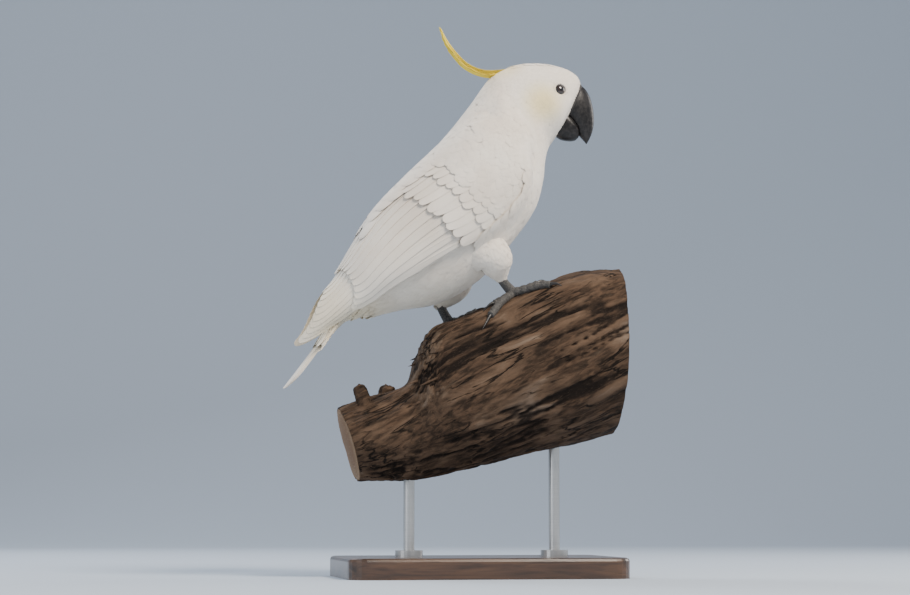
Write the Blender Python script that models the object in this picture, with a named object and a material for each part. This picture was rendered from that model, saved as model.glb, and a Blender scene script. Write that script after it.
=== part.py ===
"""Sulphur-crested cockatoo, life size, gripping a cut length of dead limb on a display stand.

The bird faces +X with its body's plane of symmetry on Y = 0, and +Z is up. Its trunk, neck, head and folded
wings come from one form: stations along the body, each with a back point, a belly point and half widths. The
stations are written in millimetres from the point between the two feet, and the finished model is moved so
that the middle of its underside is the origin.
"""

import math

import bmesh
import bpy
from mathutils import Matrix, Vector
from mathutils.bvhtree import BVHTree

MM = 0.001
GAP = 0.4 * MM  # left between solids that touch in life

# ---- driving dimensions --------------------------------------------------------------------------

# Stations of the body from the folded wings' tips to the face, in mm:
# name: (back x, back z), (belly x, belly z), half width of the body, half width inside the folded wings
BODY_STATIONS = {
    "wing_tip": ((-205, -24), (-188.5, -52), 20, 20),
    "wing_end": ((-179.5, 7), (-157, -26), 22, 32),
    "tail_root": ((-153, 37), (-116, -6), 26, 44),
    "rump": ((-131.5, 73), (-82.5, 4), 42, 56),
    "loin": ((-110, 109), (-41, 12), 55, 63),
    "back": ((-80.5, 144), (4, 38), 63, 68),
    "shoulder": ((-51, 175), (43, 83), 66, 69),
    "breast": ((-25.5, 205), (66.5, 117), 61, 64),
    "collar": ((-4, 233), (75.5, 147), 50, 54),
    "neck": ((9, 252), (78.5, 172), 41, 44),
    "nape": ((22.5, 267), (82.5, 186), 35, 38),
    "hind_crown": ((47, 278), (85.5, 191), 32.5, 35),
    "crown": ((73.5, 280.5), (87.5, 194), 31, 33),
    "brow": ((99, 277), (89, 196), 28, 30),
    "forehead": ((114, 269.5), (90, 198), 23, 25),
    "face": ((119, 262), (90.5, 199.5), 16.5, 19),
}
STATION = {name: index for index, name in enumerate(BODY_STATIONS)}
BODY_SIDES = 24  # points round a ring of the body
RINGS_PER_STATION = 2.5

NECK_START = STATION["breast"] + 0.55
HEAD_START = STATION["neck"] + 0.35

# Folded wing: its reach round the body at each station, in degrees from the back, and its thickness in mm
WING_SPAN = (
    ("wing_tip", 50, 84, 1.4),
    ("wing_end", 16, 114, 3.4),
    ("tail_root", 7, 112, 5.0),
    ("rump", 6, 109, 6.5),
    ("loin", 8, 108, 7.5),
    ("back", 13, 113, 8.0),
    ("shoulder", 22, 127, 8.0),
    ("breast", 36, 125, 7.5),
    ("collar", 62, 108, 4.0),
)
WING_FIRST, WING_LAST = 0.12, STATION["collar"] - 0.12
WING_CLEAR = 1.1 * MM  # air between the body and the folded wing
WING_COLUMNS = 9
WING_EDGE = 0.3  # thickness at the wing's margins, of the thickness at its middle

TAIL_TIP = (-209, -84)  # mm
TAIL_HALF_WIDTH = (24, 38)  # at its root and near its end
TAIL_THICKNESS = (30, 3.2)
TAIL_ARCH = 5  # its middle above its edges
TAIL_SPREADS_BY = 0.8  # the share of its length where it reaches its full width
TAIL_ROUND_FROM = 0.85  # the share of its length where its corners start to round off
TAIL_ROUND_LENGTH = 0.21
TAIL_THINNING = 2.2  # how fast its root's depth falls away
TAIL_EDGE = 0.32  # thickness at its edges, of the thickness at its middle
TAIL_RINGS = 9
TAIL_COLUMNS = 9

# Bill: stations of (top x, z), (bottom x, z), half width, in mm, from its base to its tip
UPPER_BILL = (
    ((118, 259.5), (102, 223), 12.8),
    ((125, 254.5), (107, 218.5), 12.6),
    ((130.5, 245), (111, 214.5), 11.8),
    ((134, 232), (114, 210), 10.4),
    ((135, 218.5), (116, 206), 8.6),
    ((133.5, 207.5), (119, 201.5), 6),
    ((130.5, 199.5), (123, 197), 3.4),
    ((127, 193.5), (126, 192.8), 0.9),
)
LOWER_BILL = (
    ((100.5, 220.4), (92, 201), 11.2),
    ((105, 216), (97, 197.5), 11.4),
    ((109, 211.4), (105, 195.5), 10.4),
    ((112.5, 206.4), (113, 195.5), 8),
    ((115.5, 201.8), (117, 198), 4.4),
)
UPPER_BILL_WIDEST, LOWER_BILL_WIDEST = 0.68, 0.25  # from a ring's top 0 to its bottom 1
BILL_SIDES = 14
BILL_RINGS_PER_STATION = 2

EYE_CENTRE = (91.5, 248)  # x, z in mm
EYE_RADIUS = 7.4 * MM
EYE_PROUD = 1.7 * MM  # how far the eyeball stands out of the head's side

# Crest, laid back: path of its longest feathers (x, z), half width and thickness at each point, in mm
CREST_PATH = ((46, 271), (29, 271), (10, 270), (-8, 277), (-22, 290), (-32, 303), (-39, 316))
CREST_HALF_WIDTH = (8.5, 8.0, 6.4, 5.0, 3.8, 2.4, 0.8)
CREST_THICKNESS = (13, 12, 9.5, 7.5, 5.5, 3.6, 1.2)
CREST_SIDE_REACH = (0.80, 0.64)  # length of each shorter feather beside the longest, of its length
CREST_SIDE_SPREAD = (6, 12)  # how far its tip stands out to the side, in mm
CREST_SIDE_LIFT = 14  # how far its tip rises for each unit of reach it lacks, in mm
CREST_SIDE_TAPER = (0.8, 0.16)  # its size at its root and tip, of the longest feather's there
CREST_RINGS = 11
CREST_SIDES = 8

# Legs: ball of the foot (x, y), ankle above it and hip (x, y, z), in mm. The right foot is up the slope.
LEGS = {
    "right": {"ball": (37, -25), "ankle": (23, -30, 40), "hip": (-10, -37, 80)},
    "left": {"ball": (-23, 25), "ankle": (-33, 28, 15), "hip": (-18, 34, 62)},
}
THIGH_RADII = (31, 27.5, 20.5, 15, 10.5)  # from the hip to the ankle, in mm
THIGH_WIDEN = 0.82  # sideways, against fore and aft
KNEE_REACH = 0.55  # from the hip to the ankle
KNEE_OUT = (7, 2)  # forwards and outwards, in mm
TARSUS_RADII = (5.0, 5.2, 5.6)
TARSUS_SUNK = 4  # mm of it inside the feathered thigh
BALL_HEIGHT = 6  # mm above the limb
TOES = (  # heading in degrees from straight ahead (outwards positive), length and root radius in mm
    ("front_inner", -14, 32, 4.3),
    ("front_outer", 24, 44, 4.6),
    ("rear_inner", 166, 24, 4.0),
    ("rear_outer", 142, 38, 4.4),
)
CLAW_LENGTH = 14  # mm beyond the toe
CLAW_RADII = (2.3, 0.55)
STEEPEST_TOE = 1.2  # fall of a toe over its run
THIGH_SIDES, TARSUS_SIDES, TOE_SIDES = 16, 10, 7

# Limb, from its thin lower end to its thick upper end: (top x, z), (underside x, z), half width, in mm.
# It is stepped where a broken stub ends just behind the rear foot.
LIMB_STATIONS = (
    ((-149, -103), (-125.5, -184), 40),
    ((-116, -92), (-96, -184), 46),
    ((-90.5, -85), (-74.5, -183), 51),
    ((-73.5, -74), (-61, -181), 56),
    ((-62, -40), (-48, -178), 64),
    ((-46, -16), (-31.5, -173), 71),
    ((-8, 1), (2, -164), 77),
    ((37.5, 20), (41, -153), 79),
    ((76.5, 37), (80.5, -145), 80),
    ((112, 50), (114, -138), 79),
    ((157, 56), (153, -126), 75),
)
LIMB_SIDES = 22
LIMB_RINGS_PER_STATION = 2
LIMB_TWIST = 0.35  # radians that the ridges turn from one station to the next
LIMB_RIDGES = ((3, 1.6, 0.4), (5, 1.2, 1.9), (8, 0.7, 3.1))  # count round it, height in mm, turn in radians
KNOBS = (  # stumps of twigs on the lower step: (x, y, z) of the foot, lean, length and radius in mm
    ((-122, -8, -97), (-0.30, 0.10, 1.0), 20, 8.0),
    ((-96, 10, -90), (0.15, -0.20, 1.0), 13, 9.0),
)
KNOB_RADII = (1.25, 1.0, 0.8, 0.35)  # along it, of its radius
KNOB_SUNK = 8  # mm of it inside the limb
KNOB_SIDES = 9

# Display stand
ROD_RADIUS = 6 * MM
ROD_PLACES = (-72, 88)  # x in mm
ROD_SOCKET = 22 * MM  # how far a rod reaches into the limb
ROD_SIDES = 24
COLLAR_RADIUS, COLLAR_HEIGHT = 15 * MM, 7 * MM
BASE_CENTRE_X = 2 * MM
BASE_SIZE = (0.300, 0.190, 0.022)
BASE_TOP_Z = -262 * MM
BASE_CORNER, BASE_CHAMFER = 0.018, 0.0035
BASE_SEAT = 3 * MM  # depth of the recess that a collar stands in


# ---- materials -----------------------------------------------------------------------------------

MATERIALS = {
    "plumage": ((0.86, 0.80, 0.70), 0.75, 0.0),
    "crest": ((0.93, 0.78, 0.12), 0.65, 0.0),
    "bill": ((0.035, 0.033, 0.035), 0.38, 0.0),
    "eye": ((0.012, 0.009, 0.008), 0.08, 0.0),
    "leg_skin": ((0.10, 0.095, 0.09), 0.6, 0.0),
    "limb_wood": ((0.17, 0.105, 0.065), 0.85, 0.0),
    "stand_wood": ((0.055, 0.028, 0.016), 0.35, 0.0),
    "stand_metal": ((0.62, 0.60, 0.56), 0.3, 1.0),
}


def finish(name):
    """Returns the named Principled material, made once."""
    if name in bpy.data.materials:
        return bpy.data.materials[name]
    colour, roughness, metallic = MATERIALS[name]
    material = bpy.data.materials.new(name)
    material.use_nodes = True
    shader = material.node_tree.nodes["Principled BSDF"]
    shader.inputs["Base Color"].default_value = (*colour, 1.0)
    shader.inputs["Roughness"].default_value = roughness
    shader.inputs["Metallic"].default_value = metallic
    return material


# ---- making meshes -------------------------------------------------------------------------------


def mix(a, b, t):
    """Returns the value t of the way from a to b."""
    return a + (b - a) * t


def spline(values, t):
    """Returns the value at t along a Catmull-Rom curve through values, where t counts values from 0."""
    last = len(values) - 1
    index = min(max(int(math.floor(t)), 0), last - 1)
    f = t - index
    p1, p2 = values[index], values[index + 1]
    p0 = values[index - 1] if index > 0 else 2 * p1 - p2
    p3 = values[index + 2] if index + 2 <= last else 2 * p2 - p1
    return 0.5 * (
        2 * p1 + (p2 - p0) * f + (2 * p0 - 5 * p1 + 4 * p2 - p3) * f**2 + (3 * p1 - p0 - 3 * p2 + p3) * f**3
    )


def steps(first, last, count):
    """Returns count values evenly spaced from first to last."""
    return [mix(first, last, i / (count - 1)) for i in range(count)]


def loft(rings):
    """Returns a bmesh that joins rings of the same number of points, closed at both ends."""
    bm = bmesh.new()
    ring = bmesh.ops.create_circle(bm, cap_ends=False, segments=len(rings[0]), radius=1.0)["verts"]
    for vert, point in zip(ring, rings[0]):
        vert.co = point
    ends = [ring]
    for points in rings[1:]:
        edges = {edge for vert in ring for edge in vert.link_edges if edge.other_vert(vert) in ring}
        made = bmesh.ops.extrude_edge_only(bm, edges=list(edges))["geom"]
        fresh = {item for item in made if isinstance(item, bmesh.types.BMVert)}
        ring = [next(e.other_vert(v) for e in v.link_edges if e.other_vert(v) in fresh) for v in ring]
        for vert, point in zip(ring, points):
            vert.co = point
    ends.append(ring)
    for end in ends:
        bm.faces.new(end)
    bmesh.ops.recalc_face_normals(bm, faces=bm.faces)
    return bm


def together(many_rings):
    """Returns a bmesh that holds the loft of each list of rings, for an exact Boolean to make one body of."""
    whole = bmesh.new()
    for rings in many_rings:
        piece = loft(rings)
        mesh = bpy.data.meshes.new("piece")
        piece.to_mesh(mesh)
        piece.free()
        whole.from_mesh(mesh)
        bpy.data.meshes.remove(mesh)
    return whole


def solid(name, bm, material, smooth=True):
    """Returns a new object that holds bm."""
    bmesh.ops.triangulate(bm, faces=[f for f in bm.faces if len(f.verts) > 4])
    mesh = bpy.data.meshes.new(name)
    bm.to_mesh(mesh)
    bm.free()
    obj = bpy.data.objects.new(name, mesh)
    bpy.context.scene.collection.objects.link(obj)
    mesh.materials.append(finish(material))
    if smooth:
        mesh.shade_smooth()
        mesh.set_sharp_from_angle(angle=math.radians(50))
    return obj


def cutter(name, bm):
    """Returns a hidden helper object that holds bm."""
    obj = solid(name, bm, "limb_wood", smooth=False)
    obj.hide_render = True
    obj.display_type = "WIRE"
    return obj


def combine(obj, operation, other):
    """Adds an exact Boolean with another object."""
    modifier = obj.modifiers.new(f"{operation.lower()}_{other.name}", "BOOLEAN")
    modifier.operation = operation
    modifier.solver = "EXACT"
    modifier.use_self = obj.name.startswith(("foot", "crest"))
    modifier.object = other


def ellipse(centre, across, up, sides):
    """Returns a ring of points round centre."""
    turns = [2 * math.pi * i / sides for i in range(sides)]
    return [centre + across * math.sin(turn) + up * math.cos(turn) for turn in turns]


def tube_rings(path, radii, sides, widen=1.0):
    """Returns rings of a tapered tube along path. widen stretches it sideways."""
    rings = []
    for i, centre in enumerate(path):
        ahead = path[min(i + 1, len(path) - 1)] - path[max(i - 1, 0)]
        across = ahead.cross(Vector((0, 0, 1)))
        if across.length < 1e-6 * ahead.length:
            across = Vector((0, 1, 0))
        across.normalize()
        up = across.cross(ahead).normalized()
        rings.append(ellipse(centre, across * radii[i] * widen, up * radii[i], sides))
    return rings


# ---- the body's form -----------------------------------------------------------------------------


class Form:
    """A body given by stations, each with a back point, a belly point and half widths, in mm."""

    def __init__(self, stations):
        self.backs = [Vector((back[0], 0, back[1])) * MM for back, *_ in stations]
        self.bellies = [Vector((belly[0], 0, belly[1])) * MM for _, belly, *_ in stations]
        self.widths = [width * MM for _, _, width, *_ in stations]
        self.folds = [station[-1] * MM for station in stations]

    def point(self, s, angle, inside_wing=False):
        """Returns the point at station s and angle, in radians from the back towards the left side."""
        back, belly = spline(self.backs, s), spline(self.bellies, s)
        width = spline(self.folds if inside_wing else self.widths, s)
        middle = (back + belly) / 2
        return middle + (back - middle) * math.cos(angle) + Vector((0, width * math.sin(angle), 0))

    def outward(self, s, angle, inside_wing=False):
        """Returns the direction straight out of the surface."""
        step = 1e-3
        along = self.point(s + step, angle, inside_wing) - self.point(s - step, angle, inside_wing)
        around = self.point(s, angle + step, inside_wing) - self.point(s, angle - step, inside_wing)
        out = around.cross(along).normalized()
        middle = (spline(self.backs, s) + spline(self.bellies, s)) / 2
        return out if out.dot(self.point(s, angle, inside_wing) - middle) > 0 else -out

    def off_surface(self, s, angle, distance, inside_wing=False):
        """Returns the point that far out from the surface."""
        return self.point(s, angle, inside_wing) + self.outward(s, angle, inside_wing) * distance

    def rings(self, first, last, sides, grown=0.0):
        """Returns rings from station first to last, grown outwards by a distance."""
        count = max(2, round(abs(last - first) * RINGS_PER_STATION) + 1)
        turns = [2 * math.pi * i / sides for i in range(sides)]
        return [
            [self.off_surface(s, turn, grown) if grown else self.point(s, turn) for turn in turns]
            for s in steps(first, last, count)
        ]


BODY = Form(list(BODY_STATIONS.values()))


def gap_in_stations(s):
    """Returns the step of s that parts the body by GAP where its rings are closest."""
    step = 1e-3
    moves = [(spline(line, s + step) - spline(line, s)).length / step for line in (BODY.backs, BODY.bellies)]
    return GAP / min(moves)


def build_head_and_trunk():
    """Builds the trunk, the neck and the head, parted by thin gaps. Returns them."""
    neck_end = HEAD_START - gap_in_stations(HEAD_START)
    trunk_end = NECK_START - gap_in_stations(NECK_START)
    trunk = solid("trunk", loft(BODY.rings(STATION["tail_root"], trunk_end, BODY_SIDES)), "plumage")
    neck = solid("neck", loft(BODY.rings(NECK_START, neck_end, BODY_SIDES)), "plumage")
    head = solid("head", loft(BODY.rings(HEAD_START, STATION["face"], BODY_SIDES)), "plumage")
    return trunk, neck, head


def build_wing(side, grown=0.0, name=None):
    """Builds a folded wing over the body's side, -1 right or 1 left. A grown copy serves as a cutter."""
    places = [STATION[row[0]] for row in WING_SPAN]
    count = round((WING_LAST - WING_FIRST) * RINGS_PER_STATION) + 1
    rings = []
    for s in steps(WING_FIRST, WING_LAST, count):
        upper, lower, thick = (
            spline([row[column] for row in WING_SPAN], s - places[0]) for column in (1, 2, 3)
        )
        thick *= MM
        margin = 2 * math.degrees(grown / spline(BODY.folds, s))
        upper, lower = upper - margin, lower + margin
        inner, outer = [], []
        for u in steps(0.0, 1.0, WING_COLUMNS):
            angle = side * math.radians(mix(upper, lower, u))
            full = mix(WING_EDGE, 1.0, math.sin(math.pi * u) ** 0.6)
            inner.append(BODY.off_surface(s, angle, WING_CLEAR - grown, inside_wing=True))
            outer.append(BODY.off_surface(s, angle, WING_CLEAR + thick * full + grown, inside_wing=True))
        rings.append(inner + outer[::-1])
    bm = loft(rings)
    if grown:
        return cutter(name, bm)
    return solid("wing_left" if side > 0 else "wing_right", bm, "plumage")


def build_tail():
    """Builds the closed tail as one shallow arched fan."""
    root_back, root_belly = BODY.backs[STATION["tail_root"]], BODY.bellies[STATION["tail_root"]]
    root = (root_back + root_belly) / 2
    tip = Vector((TAIL_TIP[0], 0, TAIL_TIP[1])) * MM
    ahead = (tip - root).normalized()
    up = Vector((0, 1, 0)).cross(ahead).normalized()
    up = up if up.z > 0 else -up
    root_up = (root_back - root_belly).normalized()
    clear = root_up.cross(Vector((0, 1, 0))).normalized()
    clear = clear if clear.dot(ahead) > 0 else -clear
    rings = []
    for t in steps(0.0, 1.0, TAIL_RINGS):
        centre = root + clear * GAP + (tip - root) * t
        lift = root_up.lerp(up, min(1.0, t * 2)).normalized()
        half = mix(*TAIL_HALF_WIDTH, min(1.0, t / TAIL_SPREADS_BY)) * MM
        half *= math.sqrt(max(0.0, 1 - (max(0.0, t - TAIL_ROUND_FROM) / TAIL_ROUND_LENGTH) ** 2))
        thick = mix(*TAIL_THICKNESS[::-1], (1 - t) ** TAIL_THINNING) * MM
        arch = TAIL_ARCH * MM * min(1.0, t * 2)
        top, bottom = [], []
        for u in steps(-1.0, 1.0, TAIL_COLUMNS):
            roof = centre + Vector((0, half * u, 0)) - lift * arch * u**2
            edge = mix(TAIL_EDGE, 1.0, math.sqrt(max(0.0, 1 - u**2)))
            top.append(roof + lift * thick / 2 * edge)
            bottom.append(roof - lift * thick / 2 * edge)
        rings.append(top + bottom[::-1])
    return solid("tail", loft(rings), "plumage")


# ---- head pieces ---------------------------------------------------------------------------------


def bill_rings(stations, widest):
    """Returns rings of one half of the bill, widest at that share of its depth from its top."""
    tops = [Vector((top[0], 0, top[1])) * MM for top, _, _ in stations]
    bottoms = [Vector((bottom[0], 0, bottom[1])) * MM for _, bottom, _ in stations]
    widths = [width * MM for _, _, width in stations]
    rings = []
    for s in steps(0, len(stations) - 1, (len(stations) - 1) * BILL_RINGS_PER_STATION + 1):
        top, bottom, width = spline(tops, s), spline(bottoms, s), spline(widths, s)
        middle = top.lerp(bottom, widest)
        ring = []
        for i in range(BILL_SIDES):
            turn = 2 * math.pi * (i + 0.5) / BILL_SIDES
            end = top if math.cos(turn) > 0 else bottom
            across = Vector((0, width * math.sin(turn), 0))
            ring.append(middle + (end - middle) * abs(math.cos(turn)) + across)
        rings.append(ring)
    return rings


def build_bill():
    """Builds the two halves of the bill."""
    solid("bill_upper", loft(bill_rings(UPPER_BILL, UPPER_BILL_WIDEST)), "bill")
    solid("bill_lower", loft(bill_rings(LOWER_BILL, LOWER_BILL_WIDEST)), "bill")


def eye_place(side):
    """Returns the centre of an eyeball."""
    target = Vector((EYE_CENTRE[0], 0, EYE_CENTRE[1])) * MM
    best = None
    for s in steps(STATION["nape"], STATION["face"], 60):
        for degrees in range(20, 120, 2):
            angle = side * math.radians(degrees)
            point = BODY.point(s, angle)
            miss = math.hypot(point.x - target.x, point.z - target.z)
            if best is None or miss < best[0]:
                best = (miss, point, BODY.outward(s, angle))
    _, point, out = best
    return point + out * (EYE_PROUD - EYE_RADIUS)


def build_eyes(head):
    """Builds both eyeballs and sinks a socket for each into the head."""
    for side, name in ((1, "left"), (-1, "right")):
        centre = eye_place(side)
        for radius, is_socket in ((EYE_RADIUS, False), (EYE_RADIUS + GAP, True)):
            bm = bmesh.new()
            place = Matrix.Translation(centre) @ Matrix.Rotation(math.pi / 2, 4, "X")
            bmesh.ops.create_uvsphere(bm, u_segments=14, v_segments=8, radius=radius, matrix=place)
            if is_socket:
                combine(head, "DIFFERENCE", cutter(f"socket_{name}", bm))
            else:
                solid(f"eye_{name}", bm, "eye")


def crest_rings(reach, spread):
    """Returns rings of one crest feather that stops at reach along the crest and leans sideways by spread."""
    path = [Vector((x, 0, z)) * MM for x, z in CREST_PATH]
    last = len(path) - 1
    centres, sizes = [], []
    for t in steps(0.0, 1.0, CREST_RINGS):
        s = t * reach * last
        centre = spline(path, s)
        centre.y += spread * MM * t**1.5
        centre.z += (1 - reach) * CREST_SIDE_LIFT * MM * t**3
        taper = (1.0 if reach == 1.0 else mix(*CREST_SIDE_TAPER, t**2)) * MM
        centres.append(centre)
        sizes.append((spline(CREST_HALF_WIDTH, s) * taper, spline(CREST_THICKNESS, s) / 2 * taper))
    rings = []
    for i, centre in enumerate(centres):
        ahead = centres[min(i + 1, CREST_RINGS - 1)] - centres[max(i - 1, 0)]
        up = ahead.cross(Vector((0, 1, 0))).normalized()
        rings.append(ellipse(centre, Vector((0, sizes[i][0], 0)), up * sizes[i][1], CREST_SIDES))
    return rings


def build_crest():
    """Builds the laid-back crest: its longest feathers with shorter ones at both sides."""
    feathers = [crest_rings(1.0, 0.0)]
    for reach, spread in zip(CREST_SIDE_REACH, CREST_SIDE_SPREAD):
        feathers += [crest_rings(reach, side * spread) for side in (-1, 1)]
    crest = solid("crest", together(feathers), "crest")
    first, last = STATION["neck"] - 0.5, STATION["face"] - 0.2
    combine(crest, "DIFFERENCE", cutter("head_grown", loft(BODY.rings(first, last, BODY_SIDES, grown=GAP))))


# ---- perch ---------------------------------------------------------------------------------------


def limb_mesh(grown=0.0):
    """Returns a bmesh of the limb, grown outwards by a distance."""
    form = Form(LIMB_STATIONS)
    last = len(LIMB_STATIONS) - 1
    rings = []
    for s in steps(0, last, last * LIMB_RINGS_PER_STATION + 1):
        ring = []
        for i in range(LIMB_SIDES):
            angle = 2 * math.pi * i / LIMB_SIDES
            twisted = [(high, count * angle + turn + LIMB_TWIST * s) for count, high, turn in LIMB_RIDGES]
            ridge = sum(high * math.sin(place) for high, place in twisted)
            ring.append(form.off_surface(s, angle, ridge * MM + grown))
        rings.append(ring)
    return loft(rings)


def build_limb():
    """Builds the cut length of limb with its twig stumps. Returns it and a search tree of its surface."""
    bm = limb_mesh()
    tree = BVHTree.FromBMesh(bm)
    limb = solid("perch_limb", bm, "limb_wood")
    for number, (foot, lean, length, radius) in enumerate(KNOBS):
        heading = Vector(lean).normalized()
        start = Vector(foot) * MM - heading * KNOB_SUNK * MM
        path = [start + heading * (length + KNOB_SUNK) * MM * t for t in (0.0, 0.5, 0.8, 1.0)]
        radii = [radius * MM * share for share in KNOB_RADII]
        combine(limb, "UNION", cutter(f"knob_{number}", loft(tube_rings(path, radii, KNOB_SIDES))))
    return limb, tree


def height_on(tree, x, y):
    """Returns the height of the limb's upper side at x, y."""
    return tree.ray_cast(Vector((x, y, 0.5)), Vector((0, 0, -1)))[0].z


# ---- legs ----------------------------------------------------------------------------------------


def toe_rings(tree, ball, heading, length, radius):
    """Returns rings of a toe and its claw, lying along the limb from the ball of the foot."""
    reaches = [length * t for t in (0.0, 0.26, 0.5, 0.76, 1.0)]
    radii = [radius * share for share in (1.1, 0.96, 1.06, 0.86, 0.94)]
    lifts = [size * 0.78 for size in radii]
    for t, lift in ((0.08, 3.4), (0.5, 2.8), (1.0, 0.3)):
        reaches.append(length + CLAW_LENGTH * MM * t)
        radii.append(mix(*CLAW_RADII, t) * MM)
        lifts.append(lift * MM)
    path = []
    for reach, lift in zip(reaches, lifts):
        spot = ball + heading * reach
        height = height_on(tree, spot.x, spot.y) + lift
        if path:  # over a broken edge the toe bends down no more steeply than it can
            run = math.hypot(spot.x - path[-1].x, spot.y - path[-1].y)
            height = max(height, path[-1].z - STEEPEST_TOE * run)
        path.append(Vector((spot.x, spot.y, height)))
    return tube_rings(path, radii, TOE_SIDES)


def build_leg(side_name, tree, trunk_cutter, wing_cutter, limb_cutter):
    """Builds a feathered thigh and, below it, the bare foot with its four toes."""
    sizes = LEGS[side_name]
    outwards = 1 if side_name == "left" else -1
    hip, ankle = Vector(sizes["hip"]) * MM, Vector(sizes["ankle"]) * MM
    ball = Vector((*sizes["ball"], 0)) * MM
    ball.z = height_on(tree, ball.x, ball.y) + BALL_HEIGHT * MM

    knee = hip.lerp(ankle, KNEE_REACH) + Vector((KNEE_OUT[0], outwards * KNEE_OUT[1], 0)) * MM
    path = [hip, hip.lerp(knee, 0.5), knee, knee.lerp(ankle, 0.6), ankle]
    thigh_path = [spline(path, s) for s in steps(0, 4, 9)]
    thigh_radii = [spline(THIGH_RADII, s) * MM for s in steps(0, 4, 9)]
    thigh_rings = tube_rings(thigh_path, thigh_radii, THIGH_SIDES, THIGH_WIDEN)
    thigh = solid(f"thigh_{side_name}", loft(thigh_rings), "plumage")
    combine(thigh, "DIFFERENCE", trunk_cutter)
    combine(thigh, "DIFFERENCE", wing_cutter)
    down = (thigh_path[-1] - thigh_path[-2]).normalized()
    grown_path = thigh_path[:-1] + [ankle + down * GAP]
    grown_radii = [radius + GAP / THIGH_WIDEN for radius in thigh_radii]
    grown_rings = tube_rings(grown_path, grown_radii, THIGH_SIDES, THIGH_WIDEN)
    thigh_grown = cutter(f"thigh_grown_{side_name}", loft(grown_rings))

    start = ankle - down * TARSUS_SUNK * MM
    tarsus_path = [start, start.lerp(ball, 0.5) + down * 2 * MM, ball]
    tubes = [tube_rings(tarsus_path, [r * MM for r in TARSUS_RADII], TARSUS_SIDES)]
    for _, degrees, length, radius in TOES:
        angle = outwards * math.radians(degrees)
        heading = Vector((math.cos(angle), math.sin(angle), 0))
        tubes.append(toe_rings(tree, ball - heading * 2 * MM, heading, length * MM, radius * MM))
    foot = solid(f"foot_{side_name}", together(tubes), "leg_skin")
    combine(foot, "DIFFERENCE", limb_cutter)
    combine(foot, "DIFFERENCE", thigh_grown)


# ---- display stand -------------------------------------------------------------------------------


def rod_mesh(x, bottom, top, radius):
    """Returns a bmesh of an upright round bar."""
    bm = bmesh.new()
    place = Matrix.Translation((x, 0, (bottom + top) / 2))
    bmesh.ops.create_cone(
        bm,
        cap_ends=True,
        segments=ROD_SIDES,
        radius1=radius,
        radius2=radius,
        depth=top - bottom,
        matrix=place,
    )
    return bm


def build_stand(limb, tree):
    """Builds the base and the two rods that hold the limb, with their sockets."""
    bm = bmesh.new()
    bmesh.ops.create_cube(bm, size=1.0)
    bmesh.ops.scale(bm, vec=BASE_SIZE, verts=bm.verts)
    upright = [e for e in bm.edges if abs(e.verts[0].co.z - e.verts[1].co.z) > BASE_SIZE[2] / 2]
    bmesh.ops.bevel(
        bm, geom=upright, offset=BASE_CORNER, segments=5, profile=0.5, affect="EDGES", material=-1
    )
    rim = [e for e in bm.edges if min(v.co.z for v in e.verts) > BASE_SIZE[2] / 2 - 1e-6]
    bmesh.ops.bevel(bm, geom=rim, offset=BASE_CHAMFER, segments=2, profile=0.5, affect="EDGES", material=-1)
    bmesh.ops.translate(bm, vec=(BASE_CENTRE_X, 0, BASE_TOP_Z - BASE_SIZE[2] / 2), verts=bm.verts)
    base = solid("stand_base", bm, "stand_wood", smooth=False)

    for number, place in enumerate(ROD_PLACES, 1):
        x = place * MM
        under = tree.ray_cast(Vector((x, 0, BASE_TOP_Z)), Vector((0, 0, 1)))[0].z
        foot = BASE_TOP_Z - BASE_SEAT + GAP
        bar = rod_mesh(x, foot, under + ROD_SOCKET, ROD_RADIUS)
        rod = solid(f"stand_rod_{number}", bar, "stand_metal")
        collar_top = BASE_TOP_Z + COLLAR_HEIGHT
        combine(rod, "UNION", cutter(f"collar_{number}", rod_mesh(x, foot, collar_top, COLLAR_RADIUS)))
        socket_top = under + ROD_SOCKET + GAP
        socket = rod_mesh(x, under - 20 * MM, socket_top, ROD_RADIUS + GAP)
        combine(limb, "DIFFERENCE", cutter(f"limb_socket_{number}", socket))
        seat = rod_mesh(x, BASE_TOP_Z - BASE_SEAT, BASE_TOP_Z + BASE_SEAT, COLLAR_RADIUS + GAP)
        combine(base, "DIFFERENCE", cutter(f"base_seat_{number}", seat))


def settle_on_origin():
    """Moves every mesh so that the middle of the finished model's underside is the origin."""
    bpy.context.view_layer.update()
    graph = bpy.context.evaluated_depsgraph_get()
    corners = []
    for obj in bpy.context.scene.objects:
        if not obj.hide_render:
            mesh = obj.evaluated_get(graph).to_mesh()
            corners += [vert.co.copy() for vert in mesh.vertices]
    low = [min(c[i] for c in corners) for i in range(3)]
    high = [max(c[i] for c in corners) for i in range(3)]
    shift = Vector((-(low[0] + high[0]) / 2, -(low[1] + high[1]) / 2, -low[2]))
    for mesh in bpy.data.meshes:
        mesh.transform(Matrix.Translation(shift))


def main():
    """Builds the whole model in an empty scene."""
    for obj in list(bpy.data.objects):
        bpy.data.objects.remove(obj)
    _, _, head = build_head_and_trunk()
    for side in (-1, 1):
        build_wing(side)
    build_tail()
    build_bill()
    build_eyes(head)
    build_crest()

    limb, tree = build_limb()
    limb_cutter = cutter("limb_grown", limb_mesh(GAP))
    grown_rings = BODY.rings(STATION["tail_root"], NECK_START, BODY_SIDES, grown=GAP)
    trunk_cutter = cutter("trunk_grown", loft(grown_rings))
    for side_name, side in (("right", -1), ("left", 1)):
        wing_cutter = build_wing(side, grown=GAP, name=f"wing_grown_{side_name}")
        build_leg(side_name, tree, trunk_cutter, wing_cutter, limb_cutter)
    build_stand(limb, tree)
    settle_on_origin()


main()
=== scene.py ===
"""Display model of a sulphur-crested cockatoo that grips a cut length of dead limb on a plain stand."""

import logging
import math
from collections.abc import Callable, Iterable
from dataclasses import dataclass, replace
from enum import Enum
from itertools import product

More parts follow.
